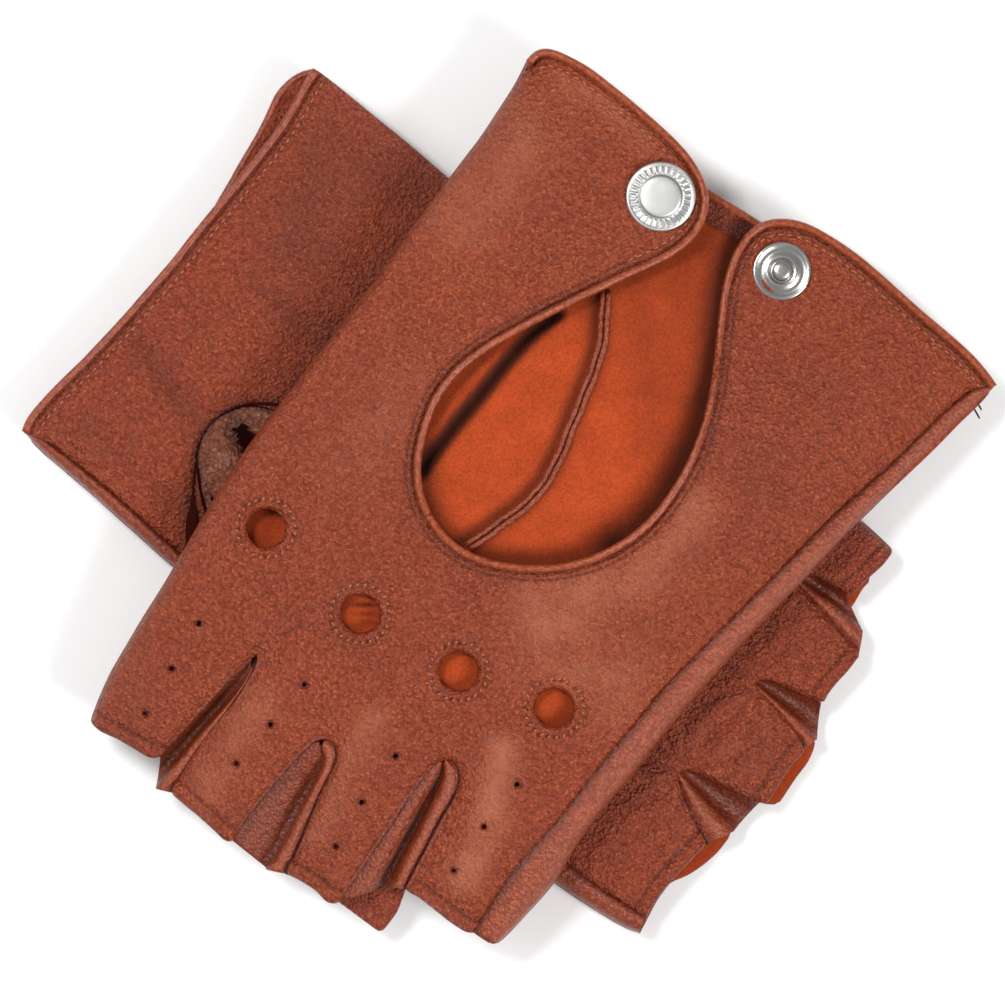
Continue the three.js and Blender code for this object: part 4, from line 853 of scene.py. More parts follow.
def build_binding(g, fine):
    """Rolled bindings along the opening and both lobes, and their stitch rows."""
    zf = lambda q, e=0.0: g.zback(q)[0] + g.up * e
    w, h = 1.75, 2.0
    # the cap's side: the cap lobe and the left edge of the opening
    cap_line = np.vstack([g.cap_edge, g.key])
    reach_n = g.n_of(cap_line)
    last = np.nonzero(reach_n > 19.0)[0]
    # first run of points that stay on the cap's side
    stop = len(g.cap_edge)
    while stop < len(cap_line) and reach_n[stop] > 19.0:
        stop += 1
    a_line, b_line = cap_line[:stop + 1], np.vstack([cap_line[stop:], g.stud_edge])
    for name, line, kw in (("cap_flap_binding", a_line, dict(blend=g.bl)), ("opening_binding", b_line, dict(body=g.main))):
        line = clean(line)
        line = soften(line, 1, 0.9)
        inner = offset(line, g.insign * 0.62)
        z = g.zback(offset(line, g.insign * 4.4))[0] - g.up * 0.36
        for _ in range(3):
            z[1:-1] = 0.25 * z[:-2] + 0.5 * z[1:-1] + 0.25 * z[2:]
        t = tube(np.column_stack([inner, z]), w, h, 14)
        v, f, _ = t
        make(g.side + "_" + name + "_roll", v, f, [g.side + "_roll_leather"], slot=g.leather, replaces=(g.side + "_" + name,), shade=np.ones(len(v)), **kw)
    # stitch rows, 3.1 mm in from the lobes' edges
    if fine:
        for name, line, kw in (("cap_side", a_line[len(g.cap_edge) - 2:], dict(blend=g.bl)), ("stud_side", b_line[:len(b_line) - len(g.stud_edge) + 2], dict(body=g.main))):
            row = soften(offset(soften(clean(line), 1, 0.9), g.insign * 3.0), 1, 0.9)
            # the dark thread also stands in for the shaded pits of the stitch holes: partly thread, partly painted
            # shade
            v, f, _ = stitches(row, 1.6, 1.15, 0.42, 0.34, zf, lift=0.12)
            make(g.side + "_opening_stitches_" + name, v, f, ["thread_dark"], slot=g.leather, **kw)
        row = soften(offset(soften(g.cap_edge, 1, 0.9), g.insign * 3.15), 1, 0.9)
        v, f, _ = stitches(row, 2.05, 1.45, 0.42, 0.42, zf)
        make(g.side + "_cap_lobe_stitches", v, f, ["thread"], blend=g.bl, slot=g.leather)
        row = soften(offset(soften(g.stud_edge, 1, 0.9), g.insign * 3.15), 1, 0.9)
        v, f, _ = stitches(row, 2.05, 1.45, 0.42, 0.42, zf)
        make(g.side + "_stud_lobe_stitches", v, f, ["thread"], body=g.main, slot=g.leather)


def build_palm_hem(g, fine):
    line = soften(g.palm_cuff, 1, 0.9)
    inner = offset(line, g.cuffsign * 0.62)
    z = g.z(offset(line, g.cuffsign * 2.0), 0.45)
    v, f, _ = tube(np.column_stack([inner, z]), 1.8, 1.7, 14)
    make(g.side + "_palm_cuff_roll", v, f, [g.side + "_roll_leather"], blend=g.bl, slot=g.leather, replaces=(g.side + "_palm_cuff_hem",), shade=np.ones(len(v)))
    if fine:
        row = soften(offset(line, g.cuffsign * 3.3), 1, 0.9)
        v, f, _ = stitches(row, 2.05, 1.45, 0.42, 0.42, lambda q: g.zpalm(q)[0])
        make(g.side + "_palm_cuff_stitches", v, f, ["thread"], blend=g.bl, slot=g.leather)


def lathe(c, prof, n, relief=None):
    """prof: (r, z) from the middle out and round to the middle again; c is (x, y)."""
    rings = []
    for r, z in prof:
        ring = []
        for j in range(n):
            a = 2 * math.pi * j / n
            dz = relief(r, a, z) if relief else 0.0
            ring.append([c[0] + r * math.cos(a), c[1] + r * math.sin(a), z + dz])
        rings.append(ring)
    r = np.array(rings)
    F = grid_faces(len(prof), n, True, False)
    v = r.reshape(-1, 3)
    # close the middle
    F.append(list(range(n))[::-1])
    F.append([(len(prof) - 1) * n + j for j in range(n)])
    return fix_out((v, F, None))


def build_snaps(g):
    S, up = g.side, g.up
    def lift(part, dropped):
        v, f, s = part
        c = v[:, :2].mean(0)[None]
        base = g.z(c, 8.3, dropped)[0]
        v = v.copy()
        v[:, 2] = base + up * (v[:, 2] - 8.3)
        if up < 0:
            f = [q[::-1] for q in f]
        return v, f, s
    H = HEIGHT
    # cap: a plain raised disc inside a ring of small raised bars
    def ring_relief(r, a, z):
        if 5.05 < r < 6.75 and z > H + 0.7:
            k = (a * 30 / (2 * math.pi)) % 1.0
            bar = 1.0 if 0.22 < k < 0.62 else 0.0
            big = int(a * 30 / (2 * math.pi)) % 3
            edge = math.sin(min(1, max(0, (r - 5.05) / 0.35)) * math.pi / 2) * math.sin(min(1, max(0, (6.75 - r) / 0.35)) * math.pi / 2)
            return 0.20 * bar * edge * (1.0 if big else 0.65)
        return 0.0
    top = [(0.25, 1.42), (1.2, 1.42), (2.4, 1.40), (3.4, 1.36), (4.0, 1.31), (4.35, 1.24), (4.55, 1.10), (4.65, 0.98), (4.8, 0.95), (5.0, 1.0)]
    top += [(5.1 + 0.12 * i, 1.02 - 0.01 * i) for i in range(1, 14)]
    top += [(6.85, 0.98), (6.98, 1.05), (7.15, 1.06), (7.35, 0.98), (7.52, 0.82), (7.6, 0.6), (7.55, 0.36), (7.35, 0.22), (6.9, 0.16), (2.2, 0.16), (2.1, -0.2), (2.1, -2.1), (1.9, -2.2), (0.25, -2.2)]
    v, f, _ = lift(lathe(g.cap, [(r, H + z) for r, z in top], 240, ring_relief), False)
    zc = g.z(g.cap[None], 8.3, False)[0]
    rr = np.hypot(*(v[:, :2] - g.cap).T)
    zz = (v[:, 2] - zc) * up + 8.3 - H
    # painted shade in the cap's groove and in its recessed ring
    sh = 1 - 0.5 * bell(rr - 4.7, 0.18) - 0.35 * ((rr > 5.0) & (rr < 6.8) & (zz < 1.03) & (zz > 0.6))
    make(S + "_snap_cap_face", v, f, ["cap_metal"], body=g.flap, slot="nickel", replaces=(S + "_snap_cap",), shade=sh)
    prof = [(2.5, -2.6), (2.6, -2.5), (4.4, -2.6), (5.0, -2.45), (5.5, -2.0), (5.65, -1.6), (5.6, -1.2), (5.2, -1.12), (2.6, -1.12), (2.45, -1.3), (2.45, -2.0), (2.48, -2.5)]
    v, f, _ = lift(lathe_open(g.cap, [(r, H + z) for r, z in prof], 72), False)
    make(S + "_snap_socket_ring", v, f, ["nickel_m"], body=g.flap, slot="nickel", replaces=(S + "_snap_socket",))
    prof = [(0.2, 2.62), (0.9, 2.62), (1.5, 2.55), (1.95, 2.3), (2.2, 1.95), (2.25, 1.6), (2.1, 1.25), (1.95, 0.95), (2.1, 0.78), (2.6, 0.72), (2.9, 0.86), (3.15, 0.92), (3.5, 0.84), (3.9, 0.60), (4.5, 0.52), (5.1, 0.55),
            (5.45, 0.72), (5.8, 0.86), (6.1, 0.84), (6.3, 0.68), (6.4, 0.45), (6.35, 0.25), (6.1, 0.15), (0.2, 0.15)]
    v, f, _ = lift(lathe(g.stud, [(r, H + z) for r, z in prof], 96), True)
    rr = np.hypot(*(v[:, :2] - g.stud).T)
    # the stud's shade is painted shade at the post's foot and in the ring groove round it
    make(S + "_snap_stud_post", v, f, ["nickel_m"], body=g.main, slot="nickel", replaces=(S + "_snap_stud",), shade=1 - 0.55 * bell(rr - 2.45, 0.35) - 0.25 * bell(rr - 4.6, 0.7))
    prof = [(0.3, -0.2), (1.6, -0.2), (1.8, -0.3), (1.8, -1.0), (2.2, -1.12), (4.6, -1.12), (4.95, -1.3), (5.0, -1.5), (4.8, -1.68), (2.2, -1.7), (1.9, -1.5), (0.3, -1.5)]
    v, f, _ = lift(lathe(g.stud, [(r, H + z) for r, z in prof], 48), True)
    make(S + "_snap_eyelet_ring", v, f, ["nickel_m"], body=g.main, slot="nickel", replaces=(S + "_snap_eyelet",))


def lathe_open(c, prof, n):
    rings = []
    for j in range(n):
        a = 2 * math.pi * j / n
        rings.append([[c[0] + r * math.cos(a), c[1] + r * math.sin(a), z] for r, z in prof])
    r = np.array(rings + rings[:1])
    v = r[:-1].reshape(-1, 3)
    m = len(prof)
    F = []
    for i in range(n):
        for j in range(m):
            a, b = i * m + j, i * m + (j + 1) % m
            c2, d2 = ((i + 1) % n) * m + (j + 1) % m, ((i + 1) % n) * m + j
            F.append([a, b, c2, d2])
    return fix_out((v, F, None))


def build_knuckles(g, fine):
    for c, nm in zip(g.t["knuckles"], ("index", "middle", "ring", "little")):
        c = arr(c)
        kw = dict(blend=g.bl) if g.n_of(c[None])[0] > 12 else dict(body=g.main)
        prof = [(KNUCKLE_R + 0.05, -1.0), (KNUCKLE_R + 0.12, -1.25), (KNUCKLE_R + 0.5, -1.55), (KNUCKLE_R + 2.1, -1.55), (KNUCKLE_R + 2.55, -1.3), (KNUCKLE_R + 2.5, -1.05)]
        v, f, _ = lathe_open(c, [(r, HEIGHT + z) for r, z in prof], 64)
        v = g.place(v)
        f2 = f if g.up > 0 else [q[::-1] for q in f]
        make(g.side + "_" + nm + "_facing", v, f2, ["suede"], slot=g.leather, replaces=(g.side + "_" + nm + "_knuckle_facing",), **kw)
        if fine:
            parts, lights = [], []
            for k in range(24):
                a = 2 * math.pi * (k + 0.3) / 24
                for r0, ln, bag in ((6.35, 0.62, parts),):
                    q = c + np.array([math.cos(a), math.sin(a)]) * r0
                    tdir = np.array([-math.sin(a + 0.7), math.cos(a + 0.7)])
                    line = np.array([q - tdir * ln * 0.75, q, q + tdir * ln * 0.75])
                    z = g.zback(line)[0] + g.up * np.array([-0.05, 0.20, -0.05])
                    bag.append(tube(np.column_stack([line, z]), 0.62, 0.45, 6, taper=0.4))
            v, f, _ = join_parts(parts)
            make(g.side + "_" + nm + "_hole_stitches", v, f, ["thread"], slot=g.leather, **kw)


def build_hems(g, fine):
    """Stitch rows along the fingertip hems."""
    if not fine:
        return
    zf = g.zback if g.side == "left" else g.zpalm
    src = g.t["backFingers"] if g.side == "left" else g.t["palmFingers"]
    parts = []
    for f in src:
        line = soften(arr(f), 1, 0.8)
        inn = offset(line, g.hemsign * 2.75)
        if lengths(inn)[-1] < 5:
            continue
        parts.append(stitches(inn[1:-1], 1.6, 1.0, 0.46, 0.40, lambda q: zf(q)[0], lift=0.14))
    v, f, _ = join_parts(parts)
    make(g.side + "_fingertip_stitches", v, f, ["thread_dark"], body=g.main, slot=g.leather)


def build_thumb(g):
    """The thumb sleeve, folded flat over the palm: two crumpled walls round a flat tube, open at the tip."""
    t = g.t
    tb, tt = arr(t["thumbBase"][0]), arr(t["thumbTip"][0])
    R = 13.0 if g.side == "left" else 12.0
    L = float(np.hypot(*(tt - tb)))
    d = (tt - tb) / L
    e = np.array([-d[1], d[0]])
    zmid = -1.8
    rings, sh = [], []
    m = 72
    stations = np.concatenate([-R * np.cos(np.linspace(0.12, math.pi / 2, 18)), np.linspace(0, L, 34)[1:]])
    outer, inner = [], []
    for a in stations:
        w = math.sqrt(max(0.01, R * R - a * a)) if a < 0 else R * (1 - 0.03 * a / L)
        for lst, dw in ((outer, 0.0), (inner, 0.75)):
            ring = []
            for j in range(m):
                an = 2 * math.pi * j / m
                cx, sx = math.cos(an), math.sin(an)
                k = max(0.12, w - dw)
                x = tb + d * a + e * (k * cx)
                rim = R - (math.hypot(a, k * cx) if a < 0 else abs(k * cx))
                full = 0.55 + 2.35 * float(sstep(np.array([rim]), -0.5, 8.5)[0])
                soft = abs(sx) ** 0.5
                if dw:
                    zz = -1.05 - 0.45 * (full - 1.0) if sx > 0 else -0.35 - max(0.8, full - 0.7) * 0.9
                    zz = -0.9 if sx > 0 else -0.35 - max(0.75, full - 0.75)
                else:
                    zz = (-0.33 if g.side == "left" else -0.62) if sx > 0 else -0.35 - full * soft
                ring.append([x[0], x[1], zz])
            lst.append(ring)
    outer, inner = np.array(outer), np.array(inner)
    if g.side == "right":
        for lst in (outer, inner):
            dy = lst[..., 1] - tb[1]
            lst[..., 1] = tb[1] + np.where(dy < 0, dy * (1 + 0.80 * sstep(tb[0] + 2.0 - lst[..., 0], 0, 7)), dy)
    q = outer.reshape(-1, 3)
    pr = np.column_stack([q[:, :2] @ d, (q[:, :2] @ e) * 0.8])
    wr = nz(pr, 5.0, 21.0 if g.side == "left" else 17.0)
    wr2 = nz(pr, 1.7, 5.0, 1)
    top = q[:, 2] < -0.70 if g.side == "right" else q[:, 2] < -0.36
    rim = R - np.minimum(np.where((q[:, :2] - tb) @ d < 0, np.hypot(*(q[:, :2] - tb).T), np.abs((q[:, :2] - tb) @ e)), R)
    k = sstep(rim, 0.3, 3.0)
    q[:, 2] += np.where(top, -k * (0.30 * (1 - 2.4 * np.abs(wr)) + 0.15 * wr2 - 0.12), 0)
    # painted shade along the wrinkles and at the sleeve's rim
    shd = 1 - 0.40 * sstep(-np.abs(wr), -0.12, 0.0) * k - 0.75 * bell(rim - 0.1, 0.7)
    qi = inner.reshape(-1, 3)
    topi = qi[:, 2] < -0.95
    z0, z0i = q[:, 2].copy(), qi[:, 2].copy()
    for c, ax, sx_, sy_, dep in FOLDS.get(g.side, ()):
        ca, sa = math.cos(math.radians(ax)), math.sin(math.radians(ax))
        v_ = qi[:, :2] - arr(c)
        qi[:, 2] += np.where(topi, max(0.0, dep) * np.exp(-((v_ @ np.array([ca, sa])) / sx_) ** 2 - ((v_ @ np.array([-sa, ca])) / sy_) ** 2), 0)
        v_ = q[:, :2] - arr(c)
        ca, sa = math.cos(math.radians(ax)), math.sin(math.radians(ax))
        x_, y_ = v_ @ np.array([ca, sa]), v_ @ np.array([-sa, ca])
        gsn = np.exp(-(x_ / sx_) ** 2 - (y_ / sy_) ** 2)
        q[:, 2] += np.where(top, dep * gsn, 0)
        # pits painted near black as painted shade, raised folds painted lighter as a painted highlight
        shd -= 0.98 * max(0.0, min(1.0, dep / 1.5)) * gsn
        shd += 0.60 * max(0.0, min(1.0, -dep / 0.6)) * gsn
    q[:, 2] = np.where(q[:, 2] > z0, np.minimum(q[:, 2], np.maximum(z0, -1.35)), q[:, 2])
    qi[:, 2] = np.where(qi[:, 2] > z0i, np.minimum(qi[:, 2], np.maximum(z0i, -1.05)), qi[:, 2])
    inner = qi.reshape(inner.shape)
    shd = np.clip(shd, 0.0, 1.5)
    q[:, 2] = np.where(top, np.clip(q[:, 2], -3.28, -0.45), q[:, 2])
    outer = q.reshape(outer.shape)
    n = len(stations)
    # outer skin, then back along the inner skin: one closed shell open at the tip
    start = 10
    rings = list(outer) + list(inner[::-1][: n - start])
    r = np.array(rings)
    F = grid_faces(len(r), m, True, True)
    v = r.reshape(-1, 3).copy()
    v[:, 2] = (g.base + v[:, 2]) if g.up > 0 else (g.base - v[:, 2])
    v, F, _ = fix_out((v, F, None))
    # inner skin at 0.6: painted shade inside the sleeve
    s = np.concatenate([shd, np.full(len(v) - len(shd), 0.6)])
    # faces in the darkest painted shade take the near-black material
    deep = np.array([s[list(f)].mean() < 0.34 for f in F]).astype(int)
    make(g.side + "_thumb_sleeve", v, F, [g.side + "_thumb_leather", "painted_shade_black"], body=g.side + "_thumb", slot=g.leather, matidx=deep, replaces=(g.side + "_thumb",), shade=s)


def build_thumb_seam(g):
    """Near-black cords laid as painted shade: one in the deep seam that runs round the thumb's foot, one flat in the
    shadowed gap it opens into.
    """
    parts = []
    for line, w, h in ((THUMB_SEAM, 0.95, 0.42), (SEAM_GAP_SHADOW, 2.7, 0.46)):
        l = soften(arr(line), 1, 0.7)
        parts.append(tube(np.column_stack([l, g.zpalm(l)[0] + 0.06]), w, h, 10, taper=2.5))
    v, f, _ = join_parts(parts)
    make(g.side + "_thumb_seam", v, f, ["painted_shade_black"], blend=g.bl, slot=g.leather)


def prepare(g):
    t = g.t
    g.cap_edge = soften(arr(t["capLobe"]), 1, 1.0)
    key = arr(t["keyhole"])
    cap_pts = arr(t["capLobe"])
    g.key = soften(key, 1, 1.0)
    if np.hypot(*(g.key[0] - g.cap_edge[-1])) < 0.8:
        g.key = g.key[1:]
    g.stud_edge = soften(arr(t["studLobe"]), 1, 1.0)
    if np.hypot(*(g.stud_edge[0] - g.key[-1])) < 0.8:
        g.stud_edge = g.stud_edge[1:]
    g.seamL = soften(arr(t["seamLittle"]), 1, 1.5)
    g.edgeL = soften(arr(t["edgeLittle"]), 1, 1.5)
    g.edgeI = soften(arr(t["edgeIndex"]), 1, 1.5)
    g.seamI = soften(arr(t["seamIndex"]), 1, 1.5)
    g.palm_cuff = soften(arr(t["palmCuff"]), 1, 1.2)
    ol = arr(t["keyhole"])
    # which side of each line the leather lies on
    c = arr(t["knuckles"]).mean(0)
    def sgn(line, p):
        return float(dist(arr([p]), line)[2][0])
    probe = g.cap + 0 * c
    g.insign = sgn(np.vstack([g.cap_edge, g.key, g.stud_edge]), g.cap)
    g.cuffsign = sgn(g.palm_cuff, c)
    f = soften(arr(t["backFingers" if g.side == "left" else "palmFingers"][1]), 1, 1.0)
    g.hemsign = sgn(f, c)
    w = soften(arr(t["webs"][1]), 1, 1.0)
    mid = w.mean(0)
    g.websign = -sgn(w, mid)
    if g.side == "left":
        g.welt = soften(arr(t["welt"]), 1, 1.2)
        g.fold = soften(arr(t["fold"]), 1, 1.2)
        g.weltdark = float(dist(arr([g.fold.mean(0)]), g.welt)[2][0])
    else:
        g.welt = g.fold = None

CREASES = [
    # (plan line mm, depth, width): fine creases in the back near the finger roots
    ([[-56.5, -34.0], [-50.0, -30.5], [-43.5, -27.0], [-38.5, -26.0]], 0.20, 0.55),
    ([[-54.5, -31.0], [-47.5, -28.6], [-41.0, -24.0]], 0.14, 0.5),
    ([[-39.5, -52.0], [-33.0, -46.5], [-27.5, -41.5]], 0.10, 0.6),
    ([[-13.0, -55.0], [-8.0, -50.0], [-2.0, -47.5]], 0.10, 0.6),
    ([[-64.0, -14.0], [-60.0, -20.0], [-57.0, -27.0]], 0.10, 0.8),
    ([[-20.5, -2.0], [-24.5, -8.0], [-26.0, -14.0]], 0.12, 0.8),
    ([[-17.0, -9.0], [-20.5, -14.0], [-22.0, -19.5]], 0.10, 0.8),
    ([[31.0, 18.0], [35.0, 10.0], [36.5, 2.0]], 0.10, 1.0),
]
PCREASES = [
    ([[-88.0, 42.0], [-78.0, 30.0], [-66.0, 12.0]], 0.45, 3.0),
    ([[-95.0, 20.0], [-84.0, 8.0], [-72.0, -2.0]], 0.30, 2.2),
    ([[-60.0, 50.0], [-45.0, 38.0], [-28.0, 30.0]], 0.40, 3.2),
    ([[63.5, -18.8], [56.0, -12.0], [46.0, -6.0]], 0.5, 0.9),
    ([[54.5, -40.5], [46.0, -36.0], [36.0, -33.0]], 0.5, 0.9),
    ([[37.0, -60.4], [30.0, -58.0], [22.0, -58.5]], 0.5, 0.9),
    ([[54.5, -40.8], [47.0, -43.0], [40.0, -48.0]], 0.35, 0.8),
    ([[63.5, -19.2], [57.0, -23.0], [50.0, -30.0]], 0.35, 0.8),
    ([[37.0, -60.8], [31.0, -66.0], [24.0, -70.0]], 0.35, 0.8),
]

RIDGES = [
    ([[-2.0, -54.0], [-4.5, -66.0], [-9.0, -80.0]], 5.0, 0.7),
    ([[-29.0, -48.0], [-35.0, -58.0], [-41.0, -70.0]], 4.5, 0.6),
    ([[-54.0, -44.0], [-60.0, -54.0], [-66.0, -64.0]], 4.5, 0.5),
    ([[-72.0, -24.0], [-80.0, -38.0]], 5.0, 0.5),
    ([[-14.0, 62.0], [2.0, 78.0]], 9.0, 0.8),
    ([[28.0, -14.0], [40.0, -8.0]], 8.0, 0.8),
    ([[-34.0, 8.0], [-22.0, 24.0]], 9.0, 0.6),
]
FOLDS = {"right": (
    # centre, axis angle, half lengths, depth: the pit and the folds of the crumpled thumb; pits get painted shade,
    # raised folds (negative depth) a painted highlight
    ([-57.6, 13.4], -56, 4.6, 2.2, 2.6),
    ([-55.8, 10.6], -50, 2.6, 1.8, 1.6),
    ([-60.0, 12.1], -52, 3.2, 0.55, 0.9),
    ([-60.9, 14.0], -50, 2.8, 0.32, -0.6),
    ([-54.0, 18.2], -6, 4.6, 0.9, -0.30),
    ([-61.3, 8.4], -14, 3.2, 1.1, -0.40),
)}
# (plan line, half width, amount): painted sheen, lighter, where the amount is positive; darker where it is negative
SHEEN_AND_DARK_PATCHES = [
    ([[7.0, -22.5], [22.0, -20.0], [33.0, -12.5], [41.0, -2.5]], 6.0, 0.50),
    ([[9.0, -32.0], [24.0, -41.0]], 9.0, 0.34),
    ([[-1.5, -55.0], [-3.5, -68.0], [-9.0, -82.0]], 3.6, 0.80),
    ([[-29.0, -48.0], [-35.0, -58.0], [-42.0, -72.0]], 3.6, 0.36),
    ([[-54.0, -44.0], [-60.0, -55.0], [-66.0, -64.0]], 4.0, 0.40),
    ([[-10.0, 60.0], [-4.0, 68.0], [4.0, 78.0]], 8.0, 0.36),
    ([[-34.0, 8.0], [-22.0, 24.0]], 8.0, 0.16),
    ([[57.0, 8.0], [68.0, 24.0]], 11.0, -0.13),
    ([[50.0, -6.0], [57.0, 2.0]], 9.0, -0.10),
    ([[14.0, 92.0], [22.0, 88.0], [30.0, 80.0]], 4.5, 0.45),
    ([[-45.0, -20.0], [-30.0, -34.0]], 7.0, -0.10),
]
THUMB_SEAM = [[-47.5, 19.6], [-49.5, 20.1], [-54.1, 20.7], [-58.5, 20.1], [-62.4, 18.3], [-65.6, 15.3], [-67.7, 11.5], [-68.5, 7.1], [-69.0, 2.7], [-69.0, -1.6], [-68.2, -5.5], [-67.0, -8.5], [-66.2, -12.0]]
# (plan line, half width, amount): painted shade on the right palm: the dark wedge in the gap beside the thumb's seam, a
# dark spot at the seam's upper end, and a broad patch that widens the left glove's painted shadow
PAINTED_SHADE_PATCHES = [
    ([[-69.6, -1.0], [-69.2, -6.0], [-69.0, -12.0], [-71.5, -16.0]], 1.7, 0.88),
    ([[-47.5, 21.5], [-45.0, 26.0]], 2.0, 0.55),
    ([[-45.4, 56.1], [-38.9, 75.7], [-22.0, 69.2]], 9.0, 0.30),
]
# the gap beside the thumb seam, where a flat near-black strip lies as painted shadow
SEAM_GAP_SHADOW = [[-69.1, 1.5], [-69.2, -2.0], [-69.3, -6.0], [-69.4, -10.5], [-70.8, -14.5], [-73.0, -18.0]]
# the left glove's edge where it lies over the right palm: a painted shadow runs along it
LEFT_GLOVE_SHADOW_EDGE = [[-84.0, -34.0], [-75.0, -20.0], [-66.0, -9.0], [-57.5, 3.0], [-50.0, 14.0], [-42.0, 25.0], [-31.0, 40.0], [-21.0, 54.0]]
TAILS = [
    # thread ends left at the cuff corners: plan points, height
    ("left", [[99.4, 22.8], [100.4, 21.0], [101.0, 19.6]], 1.2),
    ("left", [[100.4, 23.2], [102.2, 21.2], [103.4, 19.0]], 1.3),
    ("left", [[99.8, 21.6], [101.6, 19.6], [103.0, 17.2]], 0.9),
]

LEFT_AXIS = {"origin": [56.93, 61.53], "dir": [-0.6153, -0.7883], "cuff": [[30, 0.09]], "tip": [[138, 0.09], [156, 0.08]]}
RIGHT_AXIS = {"origin": [-74.78, 53.91], "dir": [0.7772, -0.6292], "cuff": [], "tip": [[43, 0.0108]]}

# ---------------------------------------------------------------- materials
def new_mat(name):
    m = bpy.data.materials.new(name)
    m.use_nodes = True
    nt = m.node_tree
    nt.nodes.clear()
    out = nt.nodes.new("ShaderNodeOutputMaterial")
    b = nt.nodes.new("ShaderNodeBsdfPrincipled")
    nt.links.new(b.outputs[0], out.inputs[0])
    MATS[name] = m
    return m, nt, b

def node(nt, kind, **kw):
    n = nt.nodes.new(kind)
    for k, v in kw.items():
        if k in n.inputs.keys():
            n.inputs[k].default_value = v
        else:
            setattr(n, k, v)
    return n

def mix_rgb(nt, blend, fac, a, b):
    m = nt.nodes.new("ShaderNodeMix")
    m.data_type = "RGBA"
    m.blend_type = blend
    for sock, val in ((m.inputs[0], fac), (m.inputs[6], a), (m.inputs[7], b)):
        if hasattr(val, "is_linked") or isinstance(val, bpy.types.NodeSocket):
            nt.links.new(val, sock)
        else:
            sock.default_value = val
    return m.outputs[2]

def math_n(nt, op, a, b=None, c=None):
    m = nt.nodes.new("ShaderNodeMath")
    m.operation = op
    for sock, val in zip(m.inputs, (a, b, c)):
        if val is None:
            continue
        if isinstance(val, bpy.types.NodeSocket):
            nt.links.new(val, sock)
        else:
            sock.default_value = val
    return m.outputs[0]

def ramp_n(nt, fac, stops):
    r = nt.nodes.new("ShaderNodeValToRGB")
    cr = r.color_ramp
    while len(cr.elements) < len(stops):
        cr.elements.new(0.5)
    for e, (p, c) in zip(cr.elements, stops):
        e.position = p
        e.color = (*c, 1) if len(c) == 3 else c
    nt.links.new(fac, r.inputs[0])
    return r.outputs[0]

def leather(name, base, dark, grain=1450, bump=0.45, rough=0.40, mottled=0.35, glint=0.5, light=(0.44, 0.135, 0.070)):
    m, nt, b = new_mat(name)
    tc = nt.nodes.new("ShaderNodeTexCoord").outputs["Object"]
    warp = node(nt, "ShaderNodeTexNoise", Scale=420.0, Detail=2.0)
    nt.links.new(tc, warp.inputs["Vector"])
    add = nt.nodes.new("ShaderNodeVectorMath"); add.operation = "MULTIPLY_ADD"
    nt.links.new(warp.outputs["Color"], add.inputs[0])
    add.inputs[1].default_value = (0.0009, 0.0009, 0.0009)
    nt.links.new(tc, add.inputs[2])
    vec = add.outputs[0]
    vor = node(nt, "ShaderNodeTexVoronoi", Scale=float(grain))
    vor.feature = "F1"
    nt.links.new(vec, vor.inputs["Vector"])
    vor2 = node(nt, "ShaderNodeTexVoronoi", Scale=float(grain) * 0.62)
    vor2.feature = "F1"
    nt.links.new(vec, vor2.inputs["Vector"])
    fine = node(nt, "ShaderNodeTexNoise", Scale=float(grain) * 1.6, Detail=3.0, Roughness=0.6)
    nt.links.new(tc, fine.inputs["Vector"])
    mid = node(nt, "ShaderNodeTexNoise", Scale=230.0, Detail=3.0, Roughness=0.55)
    nt.links.new(tc, mid.inputs["Vector"])
    big = node(nt, "ShaderNodeTexNoise", Scale=34.0, Detail=2.0, Roughness=0.5)
    nt.links.new(tc, big.inputs["Vector"])
    cell = math_n(nt, "MULTIPLY_ADD", vor.outputs["Distance"], 0.65, math_n(nt, "MULTIPLY", vor2.outputs["Distance"], 0.55))
    height = math_n(nt, "MULTIPLY_ADD", cell, -1.0, math_n(nt, "MULTIPLY", fine.outputs["Fac"], 0.55))
    height = math_n(nt, "MULTIPLY_ADD", mid.outputs["Fac"], 0.35, height)
    bp = node(nt, "ShaderNodeBump", Strength=bump, Distance=0.0007)
    nt.links.new(height, bp.inputs["Height"])
    nt.links.new(bp.outputs[0], b.inputs["Normal"])
    c0 = tuple(base)
    # pebble centres mixed toward the light colour: a painted glint on each pebble; the gaps between pebbles are darker
    hi = tuple(x + (y - x) * glint for x, y in zip(c0, light))
    c = ramp_n(nt, cell, [(0.12, hi), (0.44, c0), (0.80, (c0[0] * 0.66, c0[1] * 0.52, c0[2] * 0.48))])
    v = ramp_n(nt, big.outputs["Fac"], [(0.30, (1 - 0.16 * mottled,) * 3), (0.70, (1 + 0.14 * mottled,) * 3)])
    c = mix_rgb(nt, "MULTIPLY", 1.0, c, v)
    v = ramp_n(nt, mid.outputs["Fac"], [(0.30, (1 - 0.22 * mottled,) * 3), (0.72, (1 + 0.18 * mottled,) * 3)])
    c = mix_rgb(nt, "MULTIPLY", 1.0, c, v)
    at = nt.nodes.new("ShaderNodeAttribute"); at.attribute_name = "shade"
    s = math_n(nt, "SUBTRACT", 1.0, at.outputs["Fac"])
    # shade under 1 mixes toward the dark colour: painted shade in grooves, creases, holes and under edges
    c = mix_rgb(nt, "MIX", s, c, (*dark, 1))
    # shade over 1 mixes toward the light colour: painted highlight and sheen
    c = mix_rgb(nt, "MIX", math_n(nt, "SUBTRACT", at.outputs["Fac"], 1.0), c, (*light, 1))
    nt.links.new(c, b.inputs["Base Color"])
    rr = math_n(nt, "MULTIPLY_ADD", mid.outputs["Fac"], 0.16, rough - 0.08)
    nt.links.new(rr, b.inputs["Roughness"])
    b.inputs["Specular IOR Level"].default_value = 0.38
    return m

